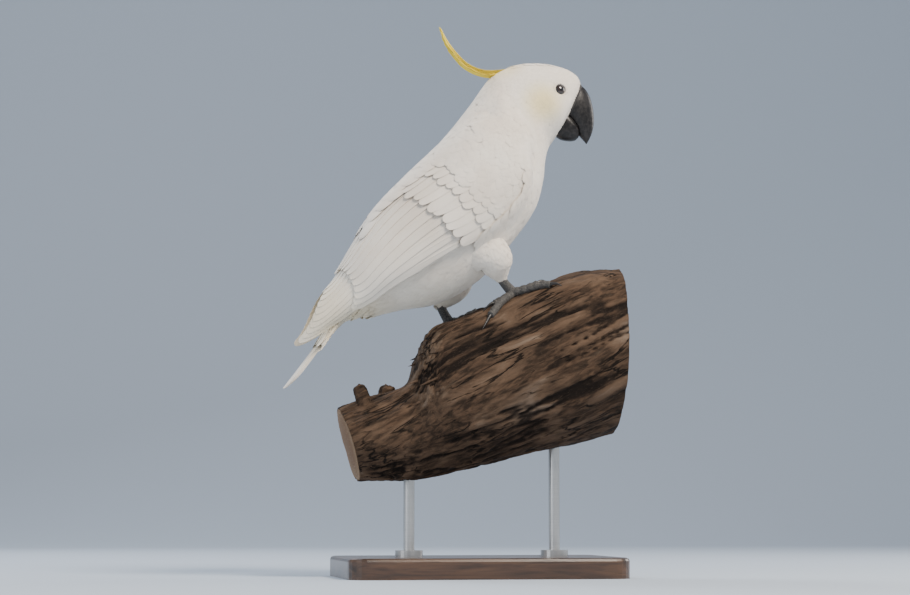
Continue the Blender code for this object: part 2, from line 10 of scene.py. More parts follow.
import bmesh
import bpy
import numpy as np
from mathutils import Matrix, Vector, noise
from mathutils.bvhtree import BVHTree


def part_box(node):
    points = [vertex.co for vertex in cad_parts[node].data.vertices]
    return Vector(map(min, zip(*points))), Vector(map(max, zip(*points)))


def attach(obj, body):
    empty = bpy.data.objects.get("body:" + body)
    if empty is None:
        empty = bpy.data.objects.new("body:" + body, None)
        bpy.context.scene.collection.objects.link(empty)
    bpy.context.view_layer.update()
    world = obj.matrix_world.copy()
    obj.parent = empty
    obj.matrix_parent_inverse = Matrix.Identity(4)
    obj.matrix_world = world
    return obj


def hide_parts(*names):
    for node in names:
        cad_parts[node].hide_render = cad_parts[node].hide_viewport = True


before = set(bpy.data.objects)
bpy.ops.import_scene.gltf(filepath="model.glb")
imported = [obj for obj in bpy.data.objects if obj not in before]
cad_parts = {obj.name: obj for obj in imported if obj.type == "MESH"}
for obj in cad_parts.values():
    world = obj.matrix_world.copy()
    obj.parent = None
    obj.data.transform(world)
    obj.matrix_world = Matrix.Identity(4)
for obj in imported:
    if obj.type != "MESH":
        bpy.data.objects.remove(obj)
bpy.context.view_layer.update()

LOG = logging.getLogger("cockatoo")
MM = 0.001
SEED = 20
BASE_CENTRE_X, BASE_DROP = 2 * MM, 262 * MM  # the base's middle and top, from the point between the two feet
ROUND = (-math.pi, math.pi)
SIDEWAYS = np.array((0.0, 1.0, 0.0))

Array = np.ndarray

# Stations of the body from the folded wings' tips to the bill's root, in mm from the point between the feet:
# back x, z, belly x, z, half width of the body, half width inside the folded wings
STATIONS = {
    "wing_tip": (-205, -24, -188.5, -52, 20, 20),
    "wing_end": (-179.5, 7, -157, -26, 22, 32),
    "tail_root": (-153, 37, -116, -6, 26, 44),
    "rump": (-131.5, 73, -82.5, 4, 42, 56),
    "loin": (-110, 109, -41, 12, 55, 63),
    "back": (-80.5, 144, 4, 38, 63, 68),
    "shoulder": (-51, 175, 43, 83, 66, 69),
    "breast": (-25.5, 205, 66.5, 117, 61, 64),
    "collar": (-4, 233, 75.5, 147, 50, 54),
    "neck": (9, 252, 78.5, 172, 41, 44),
    "nape": (22.5, 267, 82.5, 186, 35, 38),
    "hind_crown": (47, 278, 85.5, 191, 32.5, 35),
    "crown": (73.5, 280.5, 87.5, 194, 31, 33),
    "brow": (99, 277, 89, 196, 28, 30),
    "forehead": (114, 269.5, 90, 198, 23, 25),
    "face": (119, 262, 90.5, 199.5, 16.5, 19),
    "bill_root": (119.5, 258.5, 92.5, 202, 12.5, 14),
}

# Folded wing from the first station to the collar: reach round the body from and to, in degrees from the
# back, and thickness in mm
WING_SPAN = (
    (50, 84, 1.4),
    (16, 114, 3.4),
    (7, 112, 5.0),
    (6, 109, 6.5),
    (8, 108, 7.5),
    (13, 113, 8.0),
    (22, 127, 8.0),
    (36, 125, 7.5),
    (62, 108, 4.0),
)

# Soft forms on the head: x, y, z of the middle, radius and height, in mm
HEAD_FORMS = (
    (88, 30, 222, 15, 2.2),
    (76, 35, 236, 12, 1.4),
    (104, 22, 243, 8, -1.6),
    (91.5, 27, 248, 8, -1.5),
    (92, 24, 259, 7, 0.9),
)


class Side(Enum):
    """A side of the bird, by the sign of Y."""

    RIGHT = -1
    LEFT = 1

    @property
    def word(self) -> str:
        """The side's name in lower case."""
        return self.name.lower()


# Hip, ankle and x, y of the foot's ball, in mm
LEGS = {
    Side.RIGHT: ((-10, -37, 80), (23, -30, 40), (37, -25)),
    Side.LEFT: ((-18, 34, 62), (-33, 28, 15), (-23, 25)),
}

# ---- numbers ----


def mix(a: float | Array, b: float | Array, t: float | Array) -> float | Array:
    """Returns the value t of the way from a to b."""
    return a + (b - a) * t


def ease(low: float, high: float, value: Array) -> Array:
    """Returns 0 below low and 1 above high, with a smooth step between them."""
    t = np.clip((value - low) / (high - low), 0.0, 1.0)
    return t * t * (3 - 2 * t)


def unit(vectors: Array) -> Array:
    """Returns the vectors at length 1."""
    return vectors / np.maximum(np.linalg.norm(vectors, axis=-1, keepdims=True), 1e-12)


def upright(pairs: Array, y: float | Array = 0.0) -> Array:
    """Returns points from their (x, z) pairs and y."""
    return np.stack((pairs[..., 0], y + 0 * pairs[..., 0], pairs[..., 1]), -1)


def from_back(turn: Array) -> Array:
    """Returns how far a turn is from the back, from 0 to pi."""
    return np.abs(np.arctan2(np.sin(turn), np.cos(turn)))


def turns(count: int) -> Array:
    """Returns evenly spread turns in radians."""
    return np.arange(count) * 2 * math.pi / count


def curve(values: Array, t: Array) -> Array:
    """Reads a Catmull-Rom curve.

    Args:
        values: the points that it passes, one to a row.
        t: where to read it, counted in rows, in any shape.

    Returns:
        The values there, in the shape of t with one more axis.
    """
    last = len(values) - 1
    index = np.clip(np.floor(t).astype(int), 0, last - 1)
    f = (np.clip(t, -0.6, last + 0.6) - index)[..., None]
    p1, p2 = values[index], values[index + 1]
    p0 = np.where((index > 0)[..., None], values[np.maximum(index - 1, 0)], 2 * p1 - p2)
    p3 = np.where((index + 2 <= last)[..., None], values[np.minimum(index + 2, last)], 2 * p2 - p1)
    square = (2 * p0 - 5 * p1 + 4 * p2 - p3) * f**2
    return 0.5 * (2 * p1 + (p2 - p0) * f + square + (3 * p1 - p0 - 3 * p2 + p3) * f**3)


def profile(points: tuple, t: Array) -> Array:
    """Returns the value at t of a line through (place, value) points."""
    return np.interp(t, [point[0] for point in points], [point[1] for point in points])


# ---- surfaces ----


class Surface:
    """A surface with a place s along it and a turn round it, on which feathers lie along s."""

    hand = 1.0
    lie = -1.0
    step = 2e-3

    def at(self, s: Array, turn: Array) -> Array:
        """Returns the points at s and turn."""
        raise NotImplementedError

    def frame_at(self, s: Array, turn: Array) -> tuple[Array, Array, Array, Array]:
        """Returns the points, the steps along and round the surface there, and the directions out of it."""
        step = self.step
        along = (self.at(s + step, turn) - self.at(s - step, turn)) / (2 * step)
        around = (self.at(s, turn + step) - self.at(s, turn - step)) / (2 * step)
        return self.at(s, turn), along, around, unit(np.cross(along, around)) * self.hand

    @staticmethod
    def steps_for(along: Array, around: Array, move: Array) -> tuple[Array, Array]:
        """Returns the changes of s and turn that move a point by the vectors in move."""
        aa = (along * along).sum(-1)
        bb = (around * around).sum(-1)
        ab = (along * around).sum(-1)
        am = (along * move).sum(-1)
        bm = (around * move).sum(-1)
        area = np.maximum(aa * bb - ab * ab, 0.02 * aa * bb + 1e-14)
        return (am * bb - bm * ab) / area, (bm * aa - am * ab) / area

    def flow(self, points: Array, along: Array, out: Array) -> Array:
        """Returns the direction in which feathers lie."""
        return unit(along) * self.lie

    def loops(self, places: Array, sides: int) -> Array:
        """Returns closed rings of points, one for each place along the surface."""
        return self.at(*np.meshgrid(places, turns(sides), indexing="ij"))


class SectionSurface(Surface):
    """A form through stations: each one's top x, z, bottom x, z and half widths, in mm from an origin."""

    width = 4

    def __init__(self, origin: Vector, stations: Iterable[tuple]) -> None:
        """Takes the origin and the stations."""
        self.origin = np.array(origin)
        self.table = np.array(list(stations)) * MM

    def section(self, s: Array, turn: Array) -> tuple[Array, Array]:
        """Returns the middle of the form at s from its origin, and the way from there to its edge at turn."""
        row = curve(self.table, s)
        middle = (row[..., 0:2] + row[..., 2:4]) / 2
        reach = (row[..., 0:2] - middle) * np.cos(turn)[..., None]
        return upright(middle), upright(reach, row[..., self.width] * np.sin(turn))


class BodySurface(SectionSurface):
    """The plumage's outer form from tail to bill, as the solids have it."""

    def __init__(self, origin: Vector, folded: bool = False, depth: tuple = ()) -> None:
        """Makes the form.

        Args:
            origin: the point between the feet.
            folded: True for the form that the folded wings lie on.
            depth: (station, depth) points that set the surface inwards, in metres.
        """
        super().__init__(origin, STATIONS.values())
        self.width = 5 if folded else 4
        self.depth = depth
        self.eyes: list[Array] = []
        self.ring = 0.0

    def at(self, s: Array, turn: Array) -> Array:
        """Returns the points at station s and turn, in radians from the back towards the left."""
        middle, offset = self.section(s, turn)
        points = middle + offset
        swell = 0 * s
        for x, y, z, radius, height in HEAD_FORMS:
            gap = points * (1, 0, 1) - np.array((x, 0, z)) * MM
            gap[..., 1] = np.abs(points[..., 1]) - y * MM
            swell = swell + height * MM * np.exp(-((gap**2).sum(-1)) / (radius * MM) ** 2)
        if self.depth:
            swell = swell - profile(self.depth, s)
        return points + unit(offset) * swell[..., None] + self.origin

    def flow(self, points: Array, along: Array, out: Array) -> Array:
        """Returns the direction in which feathers lie, parted round the eyes."""
        lie = super().flow(points, along, out)
        for eye in self.eyes:
            gap = points - eye
            near = np.linalg.norm(gap, axis=-1, keepdims=True) < 5 * self.ring
            gap = gap - out * (gap * out).sum(-1, keepdims=True)
            far = np.maximum(np.linalg.norm(gap, axis=-1, keepdims=True), self.ring * 0.8)
            away = unit(gap)
            bent = lie + (self.ring / far) ** 2 * (lie - 2 * (lie * away).sum(-1, keepdims=True) * away)
            lie = np.where(near, unit(bent), lie)
        return lie


class WingSurface(Surface):
    """The outer face of a folded wing. Its turn runs from 0 at the upper edge to 1 at the lower edge."""

    clear = 1.1 * MM
    edge = 0.3
    # past its upper edge, the scapulars sink on to the back
    sunk, fading = -1.2 * MM, (0.03, -0.27)

    def __init__(self, body: BodySurface, side: Side) -> None:
        """Makes the wing on one side of the form that it lies on."""
        self.body = body
        self.hand = float(side.value)
        self.table = np.array(WING_SPAN, float)

    def at(self, s: Array, turn: Array) -> Array:
        """Returns the points at station s and turn."""
        return self.over(s, turn, 0.0)

    def over(self, s: Array, turn: Array, share: float) -> Array:
        """Returns the points that share of the wing's thickness under its outer face."""
        row = curve(self.table, s)
        full = mix(self.edge, 1.0, np.sin(math.pi * np.clip(turn, 0.0, 1.0)) ** 0.6)
        thick = np.maximum(row[..., 2], 1.0) * MM * full * (1 - share)
        angle = np.radians(mix(row[..., 0], row[..., 1], turn)) * self.hand
        points, _, _, out = self.body.frame_at(s, angle)
        return points + out * mix(self.clear + thick, self.sunk, ease(*self.fading, turn))[..., None]


class ShoulderSurface(Surface):
    """The plumage that runs from the neck and breast over the front and lower edges of a folded wing."""

    margin = (-16, 12)
    front = (9.7, 7.9)
    over_coverts = 1.5 * MM

    def __init__(self, body: BodySurface, wing: WingSurface) -> None:
        """Takes the body's form and the wing's."""
        self.body, self.wing = body, wing

    def edges(self, s: Array) -> Array:
        """Returns the wing's upper and lower edges in degrees, and its thickness in mm, at s."""
        return curve(self.wing.table, np.minimum(s, self.front[1]))

    def at(self, s: Array, turn: Array) -> Array:
        """Returns the points at s and turn, in radians from the back towards the left."""
        points, _, _, out = self.body.frame_at(s, turn)
        row = self.edges(s)
        angle = np.degrees(turn) * self.wing.hand
        inside = ease(*self.margin, angle - row[..., 0]) * ease(*self.margin, row[..., 1] - angle)
        step = ((self.wing.body.at(s, turn) - points) * out).sum(-1)
        lift = step + self.wing.clear + self.over_coverts + row[..., 2] * MM * 0.8
        return points + out * (lift * inside * ease(*self.front, s))[..., None]


class ThighSurface(Surface):
    """A feathered thigh, from the hip at 0 to the ankle at 4, with its front at turn 0."""

    hand = -1.0
    lie = 1.0
    radii = (31, 27.5, 20.5, 15, 8.8)
    widen = 0.82
    knee_reach, knee_out = 0.55, (7, 2)
    # how far in the hip lies, in mm, for the thigh to rise out of the flank's feathers
    sink = 9.0

    def __init__(self, origin: Vector, side: Side, inwards: float = 0.0) -> None:
        """Makes one side's thigh, set inwards by a distance in metres."""
        start, end = (np.array(place, float) for place in LEGS[side][:2])
        knee = mix(start, end, self.knee_reach) + (self.knee_out[0], side.value * self.knee_out[1], 0)
        sink = -side.value * self.sink * SIDEWAYS
        path = np.array([start + sink, mix(start, knee, 0.5) + sink * 0.5, knee, mix(knee, end, 0.6), end])
        self.path = path * MM + np.array(origin)
        self.size = np.array(self.radii)[:, None] * MM - inwards

    def at(self, s: Array, turn: Array) -> Array:
        """Returns the points at s and turn."""
        ahead = unit(curve(self.path, s + 0.2) - curve(self.path, s - 0.2))
        across = unit(np.cross(ahead, (1.0, 0.0, 0.0)))
        lift = np.cross(across, ahead)
        way = across * self.widen * np.sin(turn)[..., None] + lift * np.cos(turn)[..., None]
        return curve(self.path, s) + curve(self.size, s) * way


class TailSurface(Surface):
    """The closed tail's form, from its root at 0 to its tip at 1, with its top at turn 0."""

    hand = -1.0
    lie = 1.0
    tip = (-209, -84)
    half_width = (24, 38)
    thickness = (30, 3.2)
    arch = 5

    def __init__(self, origin: Vector) -> None:
        """Makes the tail."""
        row = np.array(STATIONS["tail_root"]) * MM
        middle = (row[0:2] + row[2:4]) / 2
        self.root = upright(middle) + np.array(origin)
        self.reach = upright(np.array(self.tip) * MM - middle)
        self.end_lift = unit(self.reach[::-1] * (1, 1, -1))
        self.root_lift = unit(upright(row[0:2] - row[2:4]))

    def at(self, s: Array, turn: Array) -> Array:
        """Returns the points at s and turn."""
        thick = mix(self.thickness[1], self.thickness[0], np.clip(1 - s, 0, 1) ** 2.2) * MM / 2
        share = np.clip(2 * s, 0, 1)
        half = mix(*self.half_width, np.clip(s / 0.8, 0, 1)) * MM
        side = SIDEWAYS * (half * np.sin(turn))[..., None]
        lift = unit(mix(self.root_lift, self.end_lift, share[..., None]))
        high = np.cos(turn) * thick - self.arch * MM * share * np.sin(turn) ** 2
        return self.root + self.reach * s[..., None] + side + lift * high[..., None]


class TailSheet(Surface):
    """The middle sheet of the tail. Its turn is the distance from the middle line, in metres."""

    lie = 1.0
    step = 1e-4

    def __init__(self, tail: TailSurface) -> None:
        """Takes the sheet of a tail."""
        self.tail = tail

    def at(self, s: Array, turn: Array) -> Array:
        """Returns the points at s and turn."""
        tail = self.tail
        drop = np.clip(2 * s, 0, 1) * tail.arch * MM * (turn / (tail.half_width[1] * MM)) ** 2
        point = tail.root + tail.reach * s[..., None]
        return point + SIDEWAYS * turn[..., None] - tail.end_lift * drop[..., None]

    def frame_at(self, s: Array, turn: Array) -> tuple[Array, Array, Array, Array]:
        """Returns the points, the steps along and across the sheet there, and the directions up from it."""
        along = np.broadcast_to(self.tail.reach, np.shape(s) + (3,))
        around = (self.at(s, turn + self.step) - self.at(s, turn - self.step)) / (2 * self.step)
        return self.at(s, turn), along, around, unit(np.cross(around, along))


class CrestSheet(Surface):
    """The curved sheet that one crest feather lies in. Its turn is the distance sideways, in metres."""

    lie = 1.0
    step = 1e-3
    # how far the shortest feathers' tips rise over the path
    rise = 9.5 * MM

    def __init__(self, path: Array, origin: Vector) -> None:
        """Takes the path of the longest feathers."""
        self.path, self.origin = path, np.array(origin)
        self.spread, self.reach = 0.0, 1.0

    def at(self, s: Array, turn: Array) -> Array:
        """Returns the points at s, from 0 at the root to 1 at the longest tip, and turn."""
        line = curve(self.path, s * (len(self.path) - 1))
        share = np.clip(s / self.reach, 0, 1.2)
        line[..., 1] += (1 - self.reach) * self.rise * share**3
        return upright(line, self.spread * share**1.4 + turn) + self.origin

    def length(self, reach: float) -> float:
        """Returns the distance from the root to a share of the path."""
        s = np.linspace(0.02, reach, 60)
        return float(np.linalg.norm(np.diff(self.at(s, 0 * s), axis=0), axis=-1).sum())

    def frame_at(self, s: Array, turn: Array) -> tuple[Array, Array, Array, Array]:
        """Returns the points, the steps along and across the sheet there, and the directions up from it."""
        along = (self.at(s + self.step, turn) - self.at(s - self.step, turn)) / (2 * self.step)
        around = np.broadcast_to(SIDEWAYS, along.shape)
        return self.at(s, turn), along, around, unit(np.cross(around, along))


# ---- shader building ----


class Wire:
    """A shader socket that Python's arithmetic adds Math nodes to."""

    def __init__(self, paint: "Paint", socket: bpy.types.NodeSocket) -> None:
        """Wraps one output socket."""
        self.paint, self.socket = paint, socket

    def _math(self, operation: str, *values: "float | Wire") -> "Wire":
        """Returns the result of a Math node on the values."""
        return self.paint.wire("Math", 0, {"operation": operation}, dict(enumerate(values)))

    def __add__(self, other: "float | Wire") -> "Wire":
        """Returns the sum."""
        return self._math("ADD", self, other)

    def __sub__(self, other: "float | Wire") -> "Wire":
        """Returns the difference."""
        return self._math("SUBTRACT", self, other)

    def __rsub__(self, other: "float | Wire") -> "Wire":
        """Returns the difference from a number."""
        return self._math("SUBTRACT", other, self)

    def __mul__(self, other: "float | Wire") -> "Wire":
        """Returns the product."""
        return self._math("MULTIPLY", self, other)

    def __pow__(self, power: float) -> "Wire":
        """Returns the power."""
        return self._math("POWER", self, power)

    __radd__, __rmul__ = __add__, __mul__

    def sine(self) -> "Wire":
        """Returns the sine."""
        return self._math("SINE", self)

    def size(self) -> "Wire":
        """Returns the value without its sign."""
        return self._math("ABSOLUTE", self)

    def ease(self, low: float, high: float) -> "Wire":
        """Returns 0 at low and 1 at high, with a smooth step between them."""
        values = {"Value": self, "From Min": low, "From Max": high}
        return self.paint.wire("MapRange", 0, {"interpolation_type": "SMOOTHSTEP"}, values)


class Paint:
    """One material and the means to build its nodes."""

    def __init__(self, name: str, roughness: float, **fixed: float) -> None:
        """Makes a Principled material.

        Args:
            name: the material's name.
            roughness: the shader's roughness.
            fixed: values of the shader's other sockets, by name with _ for a space.
        """
        self.material = bpy.data.materials.new(name)
        self.material.use_nodes = True
        self.tree = self.material.node_tree
        self.inputs = self.tree.nodes["Principled BSDF"].inputs
        self.inputs["Roughness"].default_value = roughness
        for key, value in fixed.items():
            self.inputs[key.replace("_", " ")].default_value = value

    def wire(self, kind: str, output: int | str, settings: dict, inputs: dict) -> Wire:
        """Adds a node, with its settings made before its inputs are fed, and returns one of its outputs."""
        made = self.tree.nodes.new(f"ShaderNode{kind}")
        for key, value in settings.items():
            setattr(made, key, value)
        for key, value in inputs.items():
            self.feed(made.inputs[key], value)
        return Wire(self, made.outputs[output])

    def feed(self, socket: bpy.types.NodeSocket, value: object) -> None:
        """Links a wire to a socket, or sets the socket's own value."""
        if isinstance(value, Wire):
            self.tree.links.new(value.socket, socket)
        elif isinstance(value, tuple) and socket.type == "RGBA":
            socket.default_value = (*value, 1.0)
        else:
            socket.default_value = value

    def place(self, scale: tuple = (1, 1, 1), turn: tuple = (0, 0, 0)) -> Wire:
        """Returns the object's own coordinates, turned and scaled."""
        where = self.wire("TexCoord", "Object", {}, {})
        if scale == (1, 1, 1) and turn == (0, 0, 0):
            return where
        turned = self.wire("Mapping", 0, {"vector_type": "TEXTURE"}, {"Vector": where, "Rotation": turn})
        return self.wire("Mapping", 0, {}, {"Vector": turned, "Scale": scale})

    def noise(self, scale: float, detail: float = 3.0, warp: float = 0.0, *place: tuple) -> Wire:
        """Returns a soft random pattern from 0 to 1.

        Args:
            scale: how fine it is.
            detail: how many finer patterns it holds.
            warp: how far it bends itself.
            place: the scale and the turn of its coordinates.
        """
        values = {"Vector": self.place(*place), "Scale": scale, "Detail": detail, "Distortion": warp}
        return self.wire("TexNoise", 0, {}, values)

    def attribute(self, name: str) -> Wire:
        """Returns an attribute of the mesh."""
        return self.wire("Attribute", "Fac", {"attribute_name": name}, {})

    def distance(self, point: Vector) -> Wire:
        """Returns the distance from a point in metres."""
        return self.wire("VectorMath", 1, {"operation": "DISTANCE"}, {0: self.place(), 1: tuple(point)})

    def near(self, point: Vector, radius: float, soft: float) -> Wire:
        """Returns 1 inside a ball and 0 beyond its soft edge, with the sizes in mm."""
        return 1 - self.distance(point).ease(radius * MM - soft * MM, radius * MM + soft * MM)

    def blend(self, factor: "float | Wire", a: "tuple | Wire", b: "tuple | Wire") -> Wire:
        """Returns colour a mixed with colour b by a factor."""
        return self.wire("Mix", 2, {"data_type": "RGBA"}, {0: factor, 6: a, 7: b})

    def colour(self, value: "tuple | Wire") -> "Paint":
        """Sets the base colour."""
        self.feed(self.inputs["Base Color"], value)
        return self

    def relief(self, height: Wire, deep: float, strength: float) -> "Paint":
        """Adds a bump of that depth in mm, over any that is there."""
        inputs = {"Height": height, "Distance": deep * MM, "Strength": strength}
        links = self.inputs["Normal"].links
        if links:
            inputs["Normal"] = Wire(self, links[0].from_socket)
        self.feed(self.inputs["Normal"], self.wire("Bump", 0, {}, inputs))
        return self


@dataclass(frozen=True)
class Plumage:
    """The white plumage and the skin under it, which carry the same markings."""

    origin: Vector
    white: tuple = (0.88, 0.81, 0.71)
    shade: tuple = (0.80, 0.71, 0.60)
    yellow: tuple = (0.88, 0.72, 0.30)
    sulphur: tuple = (0.93, 0.72, 0.04)
    # place in mm, radius, soft edge and strength of each yellow wash
    washes: tuple = (
        ((70, 34, 232), 18, 14, 0.72),
        ((70, -34, 232), 18, 14, 0.72),
        ((34, 0, 268), 18, 12, 0.55),
        ((-150, 0, -10), 46, 30, 0.30),
        ((-60, 0, 10), 40, 34, 0.10),
    )

    def marked(self, paint: Paint, base: Wire) -> Wire:
        """Returns the base colour with the yellow washes on it."""
        for point, radius, soft, strength in self.washes:
            mask = paint.near(self.origin + Vector(point) * MM, radius, soft) * strength
            base = paint.blend(mask, base, self.yellow)
        return base

    def feathers(self, name: str, crest: bool = False) -> bpy.types.Material:
        """Returns the finish of the feathers, or of the crest's."""
        paint = Paint(name, 0.72, Sheen_Weight=0.3, Sheen_Roughness=0.5, Specular_IOR_Level=0.2)
        vane = paint.wire("UVMap", 0, {"uv_map": "Vane"}, {})
        across, along = (paint.wire("SeparateXYZ", axis, {}, {0: vane}) for axis in (0, 1))
        aside = (across - 0.5).size()
        if crest:
            colour = self.sulphur
        else:
            cloud = paint.noise(24.0).ease(0.3, 0.75)
            colour = self.marked(paint, paint.blend(cloud, self.white, self.shade))
        # Painted shade: each vane's colour darkens towards its root, where the feathers over it shade it, and
        # along its edges (rim) as a painted shadow line between feathers; the tone attribute gives each
        # feather a random brightness
        rim = aside.ease(0.40, 0.5) * along.ease(0.0, 0.5)
        tone_and_painted_shade = 0.86 + 0.14 * along.ease(0.0, 0.6) + (paint.attribute("tone") - 0.5) * 0.06 - rim * 0.05
        paint.colour(paint.wire("VectorMath", 0, {"operation": "SCALE"}, {0: colour, "Scale": tone_and_painted_shade}))
        barbs = ((along * 190.0 - aside * 90.0).sine() + 1) * 0.5
        return paint.relief(barbs * 0.35 + aside.ease(0.0, 0.05) * 0.4, 0.12, 0.5).material

    def skin(self) -> bpy.types.Material:
        """Returns the finish of the skin under the plumage."""
        paint = Paint("skin_pale", 0.7, Specular_IOR_Level=0.3)
        fine = paint.noise(420.0, 4.0)
        base = paint.blend(fine.ease(0.35, 0.7), (0.80, 0.73, 0.64), (0.72, 0.63, 0.54))
        return paint.colour(self.marked(paint, base)).relief(fine, 0.5, 0.5).material


# ---- making meshes ----


def taken(bm: bmesh.types.BMesh) -> bpy.types.Mesh:
    """Returns a new mesh that holds bm, with its faces outwards."""
    bmesh.ops.recalc_face_normals(bm, faces=bm.faces)
    mesh = bpy.data.meshes.new("taken")
    bm.to_mesh(mesh)
    bm.free()
    return mesh


def made(
    name: str,
    shape: bmesh.types.BMesh | bpy.types.Mesh,
    material: bpy.types.Material,
    slot: str,
    *nodes: str,
    angle: float = 180.0,
) -> bpy.types.Object:
    """Makes a piece and ties it to the frame.

    Args:
        name: the piece's name.
        shape: its mesh, in place.
        material: its finish.
        slot: when it is given, the piece is tied to the frame's root; nothing for a piece of the stage.
        nodes: the nodes that it stands for.
        angle: the angle in degrees over which an edge stays sharp.

    Returns:
        The new object.
    """
    mesh = taken(shape) if isinstance(shape, bmesh.types.BMesh) else shape
    mesh.name = name
    mesh.materials.clear()
    mesh.materials.append(material)
    mesh.shade_smooth()
    if angle < 180.0:
        mesh.set_sharp_from_angle(angle=math.radians(angle))
    piece = bpy.data.objects.new(name, mesh)
    bpy.context.scene.collection.objects.link(piece)
    if slot:
        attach(piece, "root")
    if nodes:
        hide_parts(*nodes)
    LOG.info("%s: %d faces", name, len(mesh.polygons))
    return piece


def loft(bm: bmesh.types.BMesh, rings: Array | list) -> None:
    """Extrudes a circle through rings with the same number of points, into bm, and closes its ends."""
    ring = first = bmesh.ops.create_circle(bm, cap_ends=False, segments=len(rings[0]), radius=1.0)["verts"]
    for vert, point in zip(ring, rings[0]):
        vert.co = point
    for points in rings[1:]:
        ahead = dict(zip(ring, ring[1:] + ring[:1]))
        edges = [edge for vert in ring for edge in vert.link_edges if edge.other_vert(vert) is ahead[vert]]
        new = set(bmesh.ops.extrude_edge_only(bm, edges=edges)["geom"])
        ring = [next(e.other_vert(v) for e in v.link_edges if e.other_vert(v) in new) for v in ring]
        for vert, point in zip(ring, points):
            vert.co = point
    for end in (first, ring):
        bmesh.ops.poke(bm, faces=[bm.faces.new(end)], offset=0.0, center_mode="MEAN")


def tube(path: Array, radii: Array, sides: int, widen: float = 1.0, up: tuple = (0, 0, 1)) -> Array:
    """Returns the rings of a tapered tube along a path of points. widen stretches it sideways."""
    ahead = unit(np.gradient(path, axis=0))
    across = unit(np.cross(ahead, up) + 1e-9)[:, None]
    turn = turns(sides)[None, :, None]
    ring = across * np.sin(turn) * widen + np.cross(across, ahead[:, None]) * np.cos(turn)
    return path[:, None] + ring * np.asarray(radii)[:, None, None]


def roughen(points: Array, scale: float, height: float, seed: float = 0.0) -> Array:
    """Returns soft random heights at points, for patterns of about scale."""
    spots = np.asarray(points).reshape(-1, 3) / scale
    values = [noise.fractal(Vector(spot) + Vector((seed, seed, seed)), 1.0, 2.0, 4) for spot in spots]
    return height * np.array(values).reshape(np.shape(points)[:-1])


# ---- feathers ----


@dataclass(frozen=True)
class Vane:
    """The shape of one kind of feather. Its lengths are shares of its own length or half width."""

    rows: int = 6
    columns: tuple = (-1.0, -0.7, -0.36, 0.0, 0.36, 0.7, 1.0)
    root: float = 0.35
    tip: float = 0.14
    widest: float = 0.56
    crowding: float = 1.6
    rounding: float = 0.03
    camber: float = 0.06
    rise: float = 3.2
    roll: float = 0.0
    ragged: float = 0.009
    shaft: float = 0.0

    def widths(self, t: Array) -> Array:
        """Returns the half width at each share of the length."""
        grow = mix(self.root, 1.0, np.sin(math.pi / 2 * np.clip(t / self.widest, 0, 1)))
        past = np.clip((t - self.widest) / (1 - self.widest), 0, 1)
        return grow * mix(self.tip, 1.0, np.sqrt(np.clip(1 - past**2.2, 0, 1)))


DOWN = Vane(rows=4, columns=(-1.0, 0.0, 1.0), tip=0.15, widest=0.45, ragged=0.10)
FACE = Vane(rows=4, columns=(-1.0, -0.55, 0.0, 0.55, 1.0), tip=0.2, widest=0.5)
CONTOUR = Vane()
LONG = Vane(
    rows=8,
    columns=(-1.0, -0.5, 0.0, 0.5, 1.0),
    tip=0.2,
    widest=0.45,
    crowding=1.3,
    rise=1.6,
    ragged=0.01,
)
COVERT = Vane(
    rows=9,
    columns=(-1.0, -0.86, -0.6, -0.3, 0.0, 0.3, 0.6, 0.86, 1.0),
    tip=0.12,
    widest=0.66,
    crowding=1.8,
    camber=0.03,
    roll=0.06,
    ragged=0.004,
    rise=1.4,
)
FLIGHT = Vane(
    rows=24,
    columns=(-1.0, -0.88, -0.66, -0.4, -0.16, -0.05, 0.0, 0.05, 0.16, 0.4, 0.66, 0.88, 1.0),
    root=0.55,
    tip=0.10,
    widest=0.80,
    crowding=1.9,
    rounding=0.0,
    camber=0.01,
    roll=0.055,
    ragged=0.001,
    shaft=0.5 * MM,
    rise=1.2,
)
PLUME = Vane(
    rows=20,
    columns=FLIGHT.columns,
    root=0.5,
    tip=0.06,
    widest=0.38,
    crowding=1.4,
    camber=0.25,
    rise=1.8,
    ragged=0.002,
    shaft=0.3 * MM,
)


@dataclass
class Roots:
    """Where feathers grow and how they lie. Each value is one number, or one to a feather."""

    s: Array
    turn: Array
    length: Array
    half: Array
    low: Array
    high: Array
    heading: Array = 0.0

    def __post_init__(self) -> None:
        """Gives every feather its own values."""
        for key in self.__dataclass_fields__:
            setattr(self, key, np.array(np.broadcast_to(getattr(self, key), np.size(self.turn)), float))

    def kept(self, mask: Array) -> "Roots":
        """Returns the roots where the mask is true."""
        return Roots(*(getattr(self, key)[mask] for key in self.__dataclass_fields__))

    def varied(self, rng: np.random.Generator, size: float, turn: float) -> "Roots":
        """Returns the roots with random sizes and headings, by a share and by radians."""
        count = len(self.s)
        grown = 1 + size * rng.uniform(-1, 1, count)
        heading = self.heading + turn * rng.normal(0, 1, count)
        high = self.high + size * self.half * 0.10 * rng.normal(0, 1, count)
        return replace(self, length=self.length * grown, half=self.half * grown, high=high, heading=heading)


